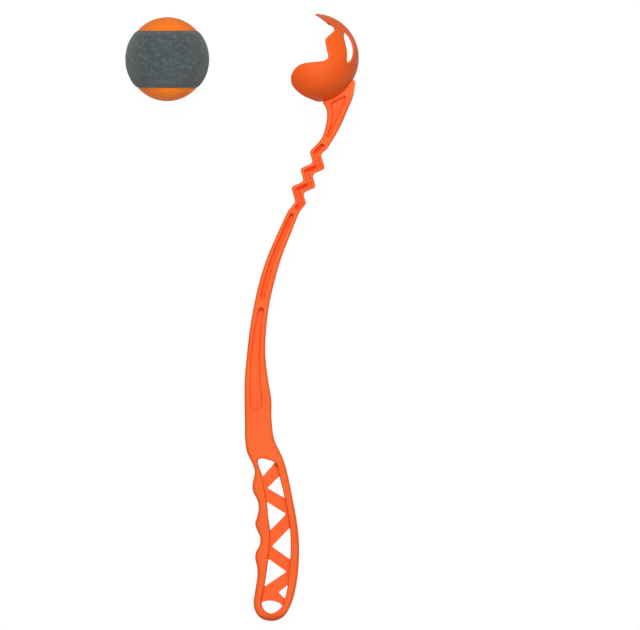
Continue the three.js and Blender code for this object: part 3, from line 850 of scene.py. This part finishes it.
def inner_opening(outer):
    """Directions of the opening's edge on the inner face.

    The opening is cut straight across, so both faces share the side view's outline, except near the cup's
    outline, where the inner edge draws in evenly to meet the inner face's own outline.
    """
    flat = outer[:, :2] * cup_outer_radius
    reach = np.linalg.norm(flat, axis=1)
    outer_reaches = [0, cut_straight_radius, cup_outer_radius]
    inner_reaches = [0, cut_straight_radius, cup_inner_radius]
    flat = flat * (np.interp(reach, outer_reaches, inner_reaches) / reach)[:, None]
    depth = np.sqrt(np.maximum(cup_inner_radius ** 2 - np.sum(flat ** 2, axis=1), 0)) * np.sign(outer[:, 2])
    return unit(np.column_stack([flat, depth]))


def spread_directions():
    """Directions spread evenly over the cup: circles about its back, each with as many points as fit."""
    step = 2 * cup_spacing / cup_outer_radius
    rings = np.arange(step, cup_spread_angle, step)
    counts = np.maximum((2 * math.pi * np.sin(rings) / step).astype(int), least_ring_points)
    tilt = np.repeat(rings, counts)
    first = np.repeat(np.cumsum(counts) - counts, counts)
    spin = 2 * math.pi * (np.arange(counts.sum()) - first) / np.repeat(counts, counts)
    spin += np.repeat(np.arange(len(rings)) % 2, counts) * math.pi / np.repeat(counts, counts)
    return np.column_stack([np.cos(tilt), np.sin(tilt) * np.cos(spin), np.sin(tilt) * np.sin(spin)])


def root_lines(skin, edge, places):
    """The lines across the wall where the lobes and the beak leave the bowl.

    For each line: the places of its two ends on the opening's edge, and its points between them on the
    outer and on the inner face.
    """
    count = len(edge)
    beak_at, claw_high, claw_low = places[1:4]
    ends = [(claw_high, claw_low), (count - claw_low, count - claw_high), (count - beak_at, beak_at)]
    lines = []
    for (first, last), (axis, *others) in zip(ends, ((2, 0, 1), (2, 0, 1), (1, 0, 2))):
        a, b = skin.points[edge[first]], skin.points[edge[last]]
        steps = int(np.linalg.norm(b - a) / (2 * cup_spacing))
        between = a + (b - a) * np.linspace(0, 1, steps + 1)[1:-1, None]
        lifted = np.sqrt(cup_outer_radius ** 2 - np.sum(between[:, others] ** 2, axis=1))
        between[:, axis] = np.sign(a[axis]) * lifted
        outer = skin.add(between, between)
        lines.append((first, last, outer, skin.add(unit(between) * cup_inner_radius, -between)))
    return lines


def points_inside(skin, edge, holes, lines):
    """Points spread over the wall's two faces, a step away from its edges and dividing lines, as two rows."""
    spread = spread_directions()
    flat = on_map(spread)
    keep = inside_loop(flat, on_map(unit(skin.points[edge])))
    for hole in holes:
        keep &= ~inside_loop(flat, on_map(unit(skin.points[hole])))
    taken = unit(skin.points[np.concatenate([edge] + holes + lines)])
    spread = spread[keep & (np.max(spread @ taken.T, axis=1) < math.cos(cup_spacing / cup_outer_radius))]
    return skin.add(spread * cup_outer_radius, spread), skin.add(spread * cup_inner_radius, -spread)


def cup_skin():
    """The cup's wall as one skin: lips round opening and windows, and both faces between them.

    Faces are grouped 0 for the bowl, 1 for the near lobe, 2 for the far lobe and 3 for the beak. Returns the
    skin and, for each group but the bowl, the rows of points that divide it from the bowl.
    """
    skin = Skin()
    half, places = opening_half()
    loop = np.vstack([half, half[-2:0:-1] * across_z])
    edge = lip(skin, loop, inner_opening(loop), 1)
    near_window = window_directions()
    lips = []
    for window in (near_window, near_window[::-1] * across_z):
        window = window[::turning(on_map(window))]
        lips.append(lip(skin, window, window, -1))
    holes = [rows[0] for rows in lips]
    seams = root_lines(skin, edge[0], places)
    outer_extra, inner_extra = points_inside(skin, edge[0], holes, [seam[2] for seam in seams])
    around = np.arange(len(loop))
    ring_groups = np.zeros(len(loop), int)
    regions, dividers = [], []
    for group, (first, last, outer, inner) in enumerate(seams, start=1):
        inside = np.roll(around, -first)[:(last - first) % len(loop) + 1]
        ring_groups[inside[:-1]] = group
        regions.append(np.concatenate([edge[0][inside], outer[::-1]]))
        chains = [np.array([row[place] for row in edge]) for place in (first, last)]
        sides = [np.concatenate([[row[first]], line, [row[last]]])
                 for row, line in ((edge[0], outer), (edge[-1], inner))]
        dividers.append((chains, *sides))
    triangles, holders = filled([edge[0]] + holes + regions, on_map(unit(skin.points)), (), outer_extra)
    kept = np.array([not holder & {1, 2} for holder in holders])
    groups = np.array([max(holder) - 2 if max(holder) > 2 else 0 for holder in holders])[kept]
    triangles = triangles[kept]
    partner = np.arange(len(skin.points))
    for rows in [edge] + lips:
        partner[rows[0]] = rows[-1]
    for _, _, outer, inner in seams:
        partner[outer] = inner
    partner[outer_extra] = inner_extra
    skin.face(triangles, groups)
    skin.face(partner[triangles][:, ::-1], groups)
    for first, second in zip(edge[:-1], edge[1:]):
        skin.bands([second, first], ring_groups)
    for rows in lips:
        skin.bands(rows)
    return skin, dividers


def cup_piece(skin, dividers, name, group):
    """One part of the cup's wall, closed across the wall where it meets the next part."""
    faces = [part[groups == group] for part, groups in zip(skin.faces, skin.groups)]
    sides = [at_corners(skin.normals, faces)]
    centre = at_corners(skin.points, faces).mean(axis=0)
    for chains, outer, inner in dividers if group == 0 else [dividers[group - 1]]:
        strip = np.column_stack([outer[:-1], outer[1:], inner[1:], inner[:-1]])
        a, b, c = (skin.points[strip[:, place]] for place in range(3))
        normal = unit(np.cross(b - a, c - a).mean(axis=0))
        if normal @ (skin.points[outer].mean(axis=0) - centre) < 0:
            normal = -normal
        for cap in [strip] + [chain[None, :] for chain in chains]:
            faces.append(cap_facing(cap, skin.points, normal))
            sides.append(np.tile(normal, (cap.size, 1)))
    return thrower_piece(name, skin.points, faces, np.vstack(sides))


def cap_facing(cap, points, normal):
    """Flat faces turned round where their first corners show that they face against the normal."""
    a, b, c = points[cap[:, 0]], points[cap[:, 1]], points[cap[:, cap.shape[1] // 2 + 1]]
    wrong = np.cross(b - a, c - a).sum(axis=0) @ normal < 0
    return cap[:, ::-1] if wrong else cap


# Ball, in millimetres from its own centre

ball_radius = 33.75
felt_thickness = 1.4
felt_fit = 0.3
band_half_height = 23.2
cap_edge_radius = 23.3
cap_rise = 10.4
core_wall = 4.0
cap_shoulder_radius = 0.8
band_shoulder_rise = 3.5
ball_rows = 64
ball_spokes = 256
fibre_seed = 7
fibre_wave_lengths = np.array([14.0, 8.0, 5.0, 3.2, 2.2, 1.6])
waves_of_each_length = 6
half_turn_about_x = np.array([1.0, -1.0, -1.0])


def turned(profile, normals, nap=0):
    """A profile of radius and height turned round the y axis, with its own normals.

    A nap moves the surface inward by smooth waves of several lengths, like the lie of pressed fibres.
    """
    turn = 2 * math.pi * np.arange(ball_spokes) / ball_spokes
    spin = np.stack([np.cos(turn), np.sin(turn)])
    points, across = (
        np.stack([part[:, :1] * spin[0], part[:, 1:] + 0 * spin[:1], -part[:, :1] * spin[1]], axis=-1)
        for part in (profile, normals)
    )
    if nap:
        points = points - across * (nap * lie_of_fibres(points))[..., None]
    return points.reshape(-1, 3), across.reshape(-1, 3)


def lie_of_fibres(points):
    """Sums of sine waves in seeded random directions, between none and all, as the height of a nap."""
    chance = np.random.default_rng(fibre_seed)
    total = np.zeros(points.shape[:-1])
    for length in np.repeat(fibre_wave_lengths, waves_of_each_length):
        wave = unit(chance.normal(size=3)) * 2 * math.pi / length
        total += np.sin(points @ wave + chance.uniform(0, 2 * math.pi)) * math.sqrt(length)
    total -= total.min()
    return total / total.max()


def arc(radius, centre_height, from_height, to_height, steps):
    """Part of a circle about a centre on the axis, as radius and height, with its outward normals."""
    low = math.asin((from_height - centre_height) / radius)
    high = math.asin(min((to_height - centre_height) / radius, 1))
    angle = np.linspace(low, high, steps)
    normal = np.column_stack([np.cos(angle), np.sin(angle)])
    return normal * radius + np.array([0, centre_height]), normal


def lathe_piece(name, profile, normals, nap=0, upside_down=False):
    """A closed turned piece laid where the ball lies: a ring, unless its profile meets the axis."""
    points, across = turned(profile, normals, nap)
    rows = np.arange(len(points)).reshape(len(profile), ball_spokes)
    first, second = (rows, np.roll(rows, -1, axis=0)) if profile[0, 0] > 0 else (rows[:-1], rows[1:])
    faces = np.stack([first, np.roll(first, -1, axis=1), np.roll(second, -1, axis=1), second], axis=-1)
    numbered = np.arange(len(points))
    for end in (0, -1):
        if profile[end, 0] == 0:
            numbered[rows[end]] = rows[end][0]
    faces = numbered[faces.reshape(-1, 4)]
    first_tips, last_tips = faces[:, 0] == faces[:, 1], faces[:, 2] == faces[:, 3]
    tips = np.where(first_tips[:, None], faces[:, [0, 2, 3]], faces[:, :3])[first_tips | last_tips]
    used, parts = used_only([faces[~(first_tips | last_tips)], tips])
    points, across = points[used], across[used]
    if upside_down:
        points, across = points * half_turn_about_x, across * half_turn_about_x
    normals = unit(at_corners(across @ turn_about_x(ball_tilt).T, parts))
    return mesh_object(name, laid(points, ball_place, ball_tilt), parts, normals)


def core_half(name, upside_down):
    """Half of the rubber core: hollow inside, a seat under the felt, and the bare domed cap on top."""
    seat_radius = ball_radius - felt_thickness - felt_fit
    dome_radius = (cap_edge_radius ** 2 + cap_rise ** 2) / (2 * cap_rise)
    pole = band_half_height + cap_rise
    inner_radius = seat_radius - core_wall
    inner, inner_normal = arc(inner_radius, 0, 0, inner_radius, ball_rows // 2)
    inner, inner_normal = inner[::-1], -inner_normal[::-1]
    inner[0, 0] = 0
    seat, seat_normal = arc(seat_radius, 0, 0, band_half_height - cap_shoulder_radius, ball_rows // 2)
    dome, dome_normal = arc(dome_radius, pole - dome_radius, band_half_height, pole, ball_rows)
    dome[-1, 0] = 0
    profile = np.vstack([inner, seat, dome])
    return lathe_piece(name, profile, np.vstack([inner_normal, seat_normal, dome_normal]), 0, upside_down)


def felt_band(nap):
    """The felt band: a ring with rounded shoulders that stand a little proud of the caps."""
    edge = band_half_height - felt_fit
    shoulder_height = edge - band_shoulder_rise
    outer, outer_normal = arc(ball_radius, 0, -shoulder_height, shoulder_height, ball_rows)
    inner, inner_normal = arc(ball_radius - felt_thickness, 0, -edge, edge, ball_rows // 4)
    turn = np.linspace(0, 1, edge_steps + 2)[1:-1, None]
    corner = np.array([outer[-1, 0] - band_shoulder_rise * outer[-1, 1] / outer[-1, 0], edge])
    top = (1 - turn) ** 2 * outer[-1] + 2 * turn * (1 - turn) * corner + turn ** 2 * inner[-1]
    top_normal = unit((1 - turn) * outer_normal[-1] + turn * np.array([0, 1.0]))
    flip = np.array([1.0, -1.0])
    profile = np.vstack([outer, top, inner[::-1], (top * flip)[::-1]])
    normals = np.vstack([outer_normal, top_normal, -inner_normal[::-1], (top_normal * flip)[::-1]])
    return lathe_piece("felt_band", profile, normals, nap)


# Materials

# The curve between display and linear colours: a straight foot, and a power with an offset above it
display_foot = 0.04045
display_foot_slope = 12.92
display_offset = 0.055
display_power = 2.4


def linear(colour):
    """A display colour, each part between none and all, as the linear colour that nodes take."""
    share = np.array(colour)
    curved = ((share + display_offset) / (1 + display_offset)) ** display_power
    return tuple(np.where(share <= display_foot, share / display_foot_slope, curved)) + (1.0,)


class Nodes:
    """The nodes of a new material or world, added one by one to the shader that it comes with."""

    def __init__(self, owner, shader, settings):
        owner.use_nodes = True
        self.owner, self.tree = owner, owner.node_tree
        self.shader = self.set(self.tree.nodes[shader], settings)

    def set(self, node, sockets):
        """Sets a node's input sockets to values, or joins them to outputs of other nodes."""
        for name, value in sockets.items():
            if isinstance(value, bpy.types.NodeSocket):
                self.tree.links.new(value, node.inputs[name])
            else:
                node.inputs[name].default_value = value
        return node

    def add(self, kind, sockets):
        """A new node with its input sockets set."""
        return self.set(self.tree.nodes.new(kind), sockets)

    def show(self, plain, seen, output):
        """Shows one shader to camera, glossy and transmission rays, and a plain one to all others."""
        rays = self.add("ShaderNodeLightPath", {}).outputs
        total = rays["Is Camera Ray"]
        for name in ("Is Glossy Ray", "Is Transmission Ray"):
            joined = self.add("ShaderNodeMath", {0: total, 1: rays[name]})
            joined.operation = "MAXIMUM"
            total = joined.outputs[0]
        switch = self.add("ShaderNodeMixShader", {0: total, 1: plain.outputs[0], 2: seen.outputs[0]})
        self.set(self.tree.nodes[output], {"Surface": switch.outputs[0]})


class Finish(Nodes):
    """A material built on its piece's own coordinates."""

    def __init__(self, name, settings):
        super().__init__(bpy.data.materials.new(name), "Principled BSDF", settings)
        self.place = self.add("ShaderNodeTexCoord", {}).outputs["Object"]

    def noise(self, scale, detail, roughness=0.55):
        """Cloudy noise in the piece's own metres; the scale is in lumps for each metre."""
        sockets = {"Scale": scale, "Detail": detail, "Roughness": roughness, "Vector": self.place}
        return self.add("ShaderNodeTexNoise", sockets).outputs["Fac"]

    def ramp(self, value, stops):
        """Colours along a value; stops has a display colour for each place, in rising order."""
        node = self.add("ShaderNodeValToRGB", {"Fac": value})
        first, *inner, last = stops.items()
        for element, (place, colour) in zip(node.color_ramp.elements, (first, last)):
            element.position, element.color = place, linear(colour)
        for place, colour in inner:
            node.color_ramp.elements.new(place).color = linear(colour)
        return node.outputs["Color"]

    def mix(self, share, first, second):
        """Two colours mixed by a share."""
        node = self.tree.nodes.new("ShaderNodeMix")
        node.data_type = "RGBA"
        share_socket, *colour_sockets = [place for place, socket in enumerate(node.inputs) if socket.enabled]
        node = self.set(node, {share_socket: share, **dict(zip(colour_sockets, (first, second)))})
        return next(socket for socket in node.outputs if socket.enabled)

    def bump(self, value, distance, strength, under=None):
        """A bump of a height in metres from a value, laid over another bump where one is given."""
        sockets = {"Distance": distance, "Strength": strength, "Height": value}
        if under is not None:
            sockets["Normal"] = under
        return self.add("ShaderNodeBump", sockets).outputs["Normal"]

    def spread(self, value, low, high):
        """A value between none and all, stretched to run from low to high."""
        sockets = {"To Min": low, "To Max": high, "Value": value}
        return self.add("ShaderNodeMapRange", sockets).outputs["Result"]

    def finish(self, colour, roughness, normal):
        """Joins colour, roughness and normal to the shader."""
        self.set(self.shader, {"Base Color": colour, "Roughness": roughness, "Normal": normal})
        return self.owner


def satin_plastic(colour, shade):
    """Moulded plastic: an even orange with faint flow clouds, a fine eggshell grain and uneven gloss."""
    made = Finish("orange_plastic_satin", {"Specular IOR Level": 0.32})
    body = made.ramp(made.noise(scale=26, detail=2), {0.35: shade, 0.62: colour})
    flow = made.noise(scale=110, detail=3)
    grain = made.noise(scale=2600, detail=2)
    coarse = made.bump(flow, distance=0.00012, strength=0.35)
    fine = made.bump(grain, distance=0.00002, strength=0.5, under=coarse)
    return made.finish(body, made.spread(flow, low=0.48, high=0.60), fine)


def moulded_rubber(colour, shade):
    """Ball rubber: a slightly warmer orange, with a dusty even surface and soft sheen."""
    made = Finish("orange_rubber_matt", {"Specular IOR Level": 0.28})
    body = made.ramp(made.noise(scale=60, detail=4), {0.3: shade, 0.6: colour})
    grain = made.noise(scale=1500, detail=3)
    coarse = made.bump(made.noise(scale=240, detail=3), distance=0.00015, strength=0.4)
    fine = made.bump(grain, distance=0.00004, strength=0.6, under=coarse)
    return made.finish(body, made.spread(grain, low=0.52, high=0.68), fine)


def marled_felt(colour, dark, light):
    """Pressed wool felt: slate fibres with darker and paler flecks, a woolly bump and a dry sheen."""
    sheen = {"Specular IOR Level": 0.1, "Sheen Weight": 0.25, "Sheen Roughness": 0.6}
    made = Finish("grey_felt_marled", sheen)
    flecks = made.noise(scale=900, detail=4, roughness=0.7)
    tufts = made.noise(scale=330, detail=4, roughness=0.65)
    base = made.ramp(tufts, {0.36: dark, 0.52: colour, 0.66: light})
    body = made.mix(0.5, base, made.ramp(flecks, {0.36: dark, 0.5: colour, 0.68: light}))
    woolly = made.bump(tufts, distance=0.0008, strength=0.7)
    fine = made.bump(flecks, distance=0.0005, strength=0.8, under=woolly)
    return made.finish(body, made.spread(flecks, low=0.88, high=1.0), fine)


def dress(piece, material, slot, body, *nodes):
    """Gives a piece its finish, hides the solids it stands in for and lets it ride on its body, if it has
    only one.
    """
    piece.data.materials.append(material)
    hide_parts(*nodes)
    if body:
        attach(piece, body)


# Sizes and colours that a user may change

def length_setting(name, description, default, least):
    """A length, in metres, that a user may change."""
    return bpy.props.FloatProperty(
        name=name, description=description, unit="LENGTH", precision=5, default=default, min=least,
    )


def colour_setting(name, description, default):
    """A display colour that a user may change."""
    return bpy.props.FloatVectorProperty(
        name=name, description=description, subtype="COLOR_GAMMA", size=3, min=0, max=1, default=default,
    )


class BallThrowerSizes(bpy.types.PropertyGroup):
    """Lengths of the thrower and its ball that the solids leave open."""

    groove_depth: length_setting("Groove depth", "Of the grooves in zigzag and arm", 0.0048, 0.001)
    pocket_depth: length_setting("Pocket depth", "Of the triangular pocket in the neck", 0.0032, 0.001)
    lobe_bend: length_setting("Lobe bend", "How far along a side lobe its bending reaches", 0.008, 0.001)
    beak_bend: length_setting("Beak bend", "How far along the beak its bending reaches", 0.007, 0.001)
    felt_nap: length_setting("Felt nap", "Height of the waves in the felt", 0.00028, 0)


class BallThrowerLook(bpy.types.PropertyGroup):
    """Colours of the thrower and its ball on display."""

    plastic: colour_setting("Plastic", "Of the moulded thrower", (0.980, 0.388, 0.085))
    plastic_shade: colour_setting("Plastic shade", "Deeper, in the plastic's clouds", (0.968, 0.358, 0.070))
    rubber: colour_setting("Rubber", "Of the ball's bare caps", (0.990, 0.500, 0.070))
    rubber_shade: colour_setting("Rubber shade", "Deeper, in the rubber's clouds", (0.985, 0.455, 0.080))
    felt: colour_setting("Felt", "Of most of the felt band", (0.255, 0.290, 0.288))
    felt_dark: colour_setting("Felt, dark fibres", "Of the felt's darkest fibres", (0.160, 0.195, 0.200))
    felt_light: colour_setting("Felt, pale fibres", "Of the felt's palest fibres", (0.410, 0.445, 0.450))


class BallThrowerStage(bpy.types.PropertyGroup):
    """Sizes of the studio round the thrower."""

    floor_width: length_setting("Floor width", "Side of the square floor", 8.0, 1.0)
    view_distance: length_setting("View distance", "From the thrower's plane to the camera", 12.0, 0.5)
    view_width: length_setting("View width", "Of what the camera sees at the thrower", 0.512, 0.1)


# Operators

class BallThrowerOperator:
    """What the operators share."""

    bl_options = {"REGISTER", "UNDO"}

    @staticmethod
    def plastic(context):
        """The thrower's material, made once."""
        look = context.scene.ball_thrower_look
        made = bpy.data.materials.get("orange_plastic_satin")
        return made or satin_plastic(look.plastic, look.plastic_shade)


class BALLTHROWER_OT_stem(BallThrowerOperator, bpy.types.Operator):
    """Makes grip rim, arm, zigzag and neck: one moulding in five lengths that meet at the zigzag's dividing
    lines
    """

    bl_idname = "ball_thrower.stem"
    bl_label = "Grip, arm, zigzag and neck"

    def execute(self, context):
        skin = stem_skin(context.scene.ball_thrower_sizes)
        lengths = [
            ("neck_and_first_corner", ("neck_gusset", "zigzag_link_4"), "link_4", "head"),
            ("zigzag_third_bend", ("zigzag_link_3",), "link_3", "link_4"),
            ("zigzag_second_bend", ("zigzag_link_2",), "link_2", "link_3"),
            ("zigzag_first_bend", ("zigzag_link_1",), "link_1", "link_2"),
            ("grip_rim_and_arm", ("grip_frame", "arm_beam"), "arm", "link_1"),
        ]
        for group, (name, nodes, lower, upper) in enumerate(lengths):
            piece = stem_piece(skin, name, group)
            dress(piece, self.plastic(context), "orange_plastic", None, *nodes)
            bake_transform(piece)
        return {"FINISHED"}


class BALLTHROWER_OT_truss(BallThrowerOperator, bpy.types.Operator):
    """Makes the recessed lattice inside the grip"""

    bl_idname = "ball_thrower.truss"
    bl_label = "Grip lattice"

    def execute(self, context):
        skin = truss_skin()
        piece = thrower_piece("grip_lattice", skin.points, skin.faces, at_corners(skin.normals, skin.faces))
        dress(piece, self.plastic(context), "orange_plastic", "arm", "grip_truss")
        return {"FINISHED"}


class BALLTHROWER_OT_cup(BallThrowerOperator, bpy.types.Operator):
    """Makes the cup: bowl, two springy side lobes and the springy beak, each a piece of its own beside the
    bowl
    """

    bl_idname = "ball_thrower.cup"
    bl_label = "Cup"

    def execute(self, context):
        sizes = context.scene.ball_thrower_sizes
        skin, dividers = cup_skin()
        bowl = cup_piece(skin, dividers, "cup_wall", 0)
        dress(bowl, self.plastic(context), "orange_plastic", "head", "cup_bowl")
        lobe = ((claw_root_high + claw_root_low) / 2, claw_aside * millimetres(sizes.lobe_bend))
        beak = (np.array([beak_root_x, 0]), np.array([-millimetres(sizes.beak_bend), 0]))
        parts = [
            ("cup_lobe_near", "cup_claw_left", "claw_left", *lobe),
            ("cup_lobe_far", "cup_claw_right", "claw_right", *lobe),
            ("cup_tip", "cup_beak", "beak", *beak),
        ]
        for group, (name, node, body, root, reach) in enumerate(parts, start=1):
            piece = cup_piece(skin, dividers, name, group)
            dress(piece, self.plastic(context), "orange_plastic", None, node)
            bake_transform(piece)
        return {"FINISHED"}


class BALLTHROWER_OT_ball(BallThrowerOperator, bpy.types.Operator):
    """Makes the ball: two rubber half shells and the felt band round their middle"""

    bl_idname = "ball_thrower.ball"
    bl_label = "Ball"

    def execute(self, context):
        look = context.scene.ball_thrower_look
        rubber = moulded_rubber(look.rubber, look.rubber_shade)
        felt = marled_felt(look.felt, look.felt_dark, look.felt_light)
        nap = millimetres(context.scene.ball_thrower_sizes.felt_nap)
        dress(core_half("core_upper", False), rubber, "orange_rubber", "ball", "ball_core_upper")
        dress(core_half("core_lower", True), rubber, "orange_rubber", "ball", "ball_core_lower")
        dress(felt_band(nap), felt, "grey_felt", "ball", "ball_felt_band")
        return {"FINISHED"}


# Studio: each lamp's name, place, target, width, power in watts and spread in degrees
thrower_middle = np.array([0.03, 0.0, 0.02])
lamps = [
    ("key_softbox", np.array([-0.15, 0.95, 1.9]), thrower_middle, 0.8, 29.5, 180),
    ("fill_softbox", np.array([0.6, -0.8, 2.0]), thrower_middle, 1.4, 17, 180),
    ("ball_softbox", ball_place + np.array([-0.04, -0.10, 0.5]), ball_place, 0.08, 0.008, 14),
]
white = (1, 1, 1, 1)
surround_light = 0.15
floor_colour = (0.25, 0.25, 0.25, 1)
floor_roughness = 0.9
floor_glow = 1.13
floor_glow_share = 0.86
view_target = np.array([0.062425, 0.00195, 0.02447])
sensor_millimetres = 36.0
clip_share = 3


def soft_lamp(name, place, target, width, power, spread):
    """A square lamp at a place that faces a target and spreads its light by an angle in degrees."""
    lamp = bpy.data.lights.new(name, "AREA")
    lamp.size = width
    lamp.energy = power
    lamp.spread = math.radians(spread)
    holder = bpy.data.objects.new(name, lamp)
    bpy.context.scene.collection.objects.link(holder)
    aim_at(holder, place, target, np.array([0, 1.0, 0]))


def aim_at(thing, place, target, up):
    """Puts a lamp or camera at a place so that it looks at the target with the given upward direction."""
    backward = unit(place - target)
    right = unit(np.cross(up, backward))
    matrix = np.eye(4)
    matrix[:3, :3] = np.column_stack([right, np.cross(backward, right), backward])
    matrix[:3, 3] = place
    thing.matrix_world = Matrix(matrix.tolist())


class BALLTHROWER_OT_stage(BallThrowerOperator, bpy.types.Operator):
    """Makes the pale floor, the soft lamps, the world's light and the camera at the photographed angle"""

    bl_idname = "ball_thrower.stage"
    bl_label = "Studio"

    def execute(self, context):
        sizes = context.scene.ball_thrower_stage
        self.floor(sizes.floor_width / 2)
        self.world(context)
        for lamp in lamps:
            soft_lamp(*lamp)
        self.camera(context, sizes)
        context.scene.view_settings.view_transform = "Standard"
        return {"FINISHED"}

    def floor(self, reach):
        """A flat pale floor that shows white to the camera and keeps a soft shadow."""
        corners = reach * np.array([[-1, -1, 0], [1, -1, 0], [1, 1, 0], [-1, 1, 0]])
        floor = mesh_object("floor", corners, [np.array([[0, 1, 2, 3]])], np.tile([0, 0, 1.0], (4, 1)))
        settings = {"Base Color": floor_colour, "Roughness": floor_roughness}
        made = Nodes(bpy.data.materials.new("floor_white"), "Principled BSDF", settings)
        glow = made.add("ShaderNodeEmission", {"Strength": floor_glow})
        shaders = {1: made.shader.outputs[0], 2: glow.outputs[0]}
        shadowed = made.add("ShaderNodeMixShader", {0: floor_glow_share, **shaders})
        made.show(made.shader, shadowed, "Material Output")
        floor.data.materials.append(made.owner)

    def world(self, context):
        """A white surround to look at, and a dimmer one to light by."""
        settings = {"Color": white, "Strength": surround_light}
        made = Nodes(bpy.data.worlds.new("studio"), "Background", settings)
        seen = made.add("ShaderNodeBackground", {"Color": white, "Strength": 1.0})
        made.show(made.shader, seen, "World Output")
        context.scene.world = made.owner

    def camera(self, context, sizes):
        """A far camera that looks straight at the thrower's own plane."""
        turn = turn_about_x(lean)
        lens = bpy.data.cameras.new("view")
        lens.sensor_width = sensor_millimetres
        lens.lens = sensor_millimetres * sizes.view_distance / sizes.view_width
        lens.clip_end = clip_share * sizes.view_distance
        camera = bpy.data.objects.new("view", lens)
        context.scene.collection.objects.link(camera)
        aim_at(camera, view_target + turn[:, 2] * sizes.view_distance, view_target, turn[:, 1])
        context.scene.camera = camera


class BALLTHROWER_PT_panel(bpy.types.Panel):
    """Lists the pieces of the thrower, their sizes and their colours"""

    bl_idname = "BALLTHROWER_PT_panel"
    bl_label = "Ball thrower"
    bl_space_type = "VIEW_3D"
    bl_region_type = "UI"
    bl_category = "Ball thrower"

    def draw(self, context):
        for operator in operators:
            self.layout.operator(operator.bl_idname)
        for group, kind in settings_groups.items():
            for name in kind.__annotations__:
                self.layout.prop(getattr(context.scene, group), name)


operators = (
    BALLTHROWER_OT_stem,
    BALLTHROWER_OT_truss,
    BALLTHROWER_OT_cup,
    BALLTHROWER_OT_ball,
    BALLTHROWER_OT_stage,
)
settings_groups = {
    "ball_thrower_sizes": BallThrowerSizes,
    "ball_thrower_look": BallThrowerLook,
    "ball_thrower_stage": BallThrowerStage,
}
classes = (*settings_groups.values(), *operators, BALLTHROWER_PT_panel)


def register():
    """Registers the classes and their settings."""
    for made in classes:
        bpy.utils.register_class(made)
    for name, group in settings_groups.items():
        setattr(bpy.types.Scene, name, bpy.props.PointerProperty(type=group))


def unregister():
    """Takes the settings and classes away again."""
    for name in settings_groups:
        delattr(bpy.types.Scene, name)
    for made in reversed(classes):
        bpy.utils.unregister_class(made)


def main():
    """Makes every piece in order."""
    register()
    bpy.ops.ball_thrower.stem()
    bpy.ops.ball_thrower.truss()
    bpy.ops.ball_thrower.cup()
    bpy.ops.ball_thrower.ball()
    bpy.ops.ball_thrower.stage()


if __name__ == "__main__":
    main()
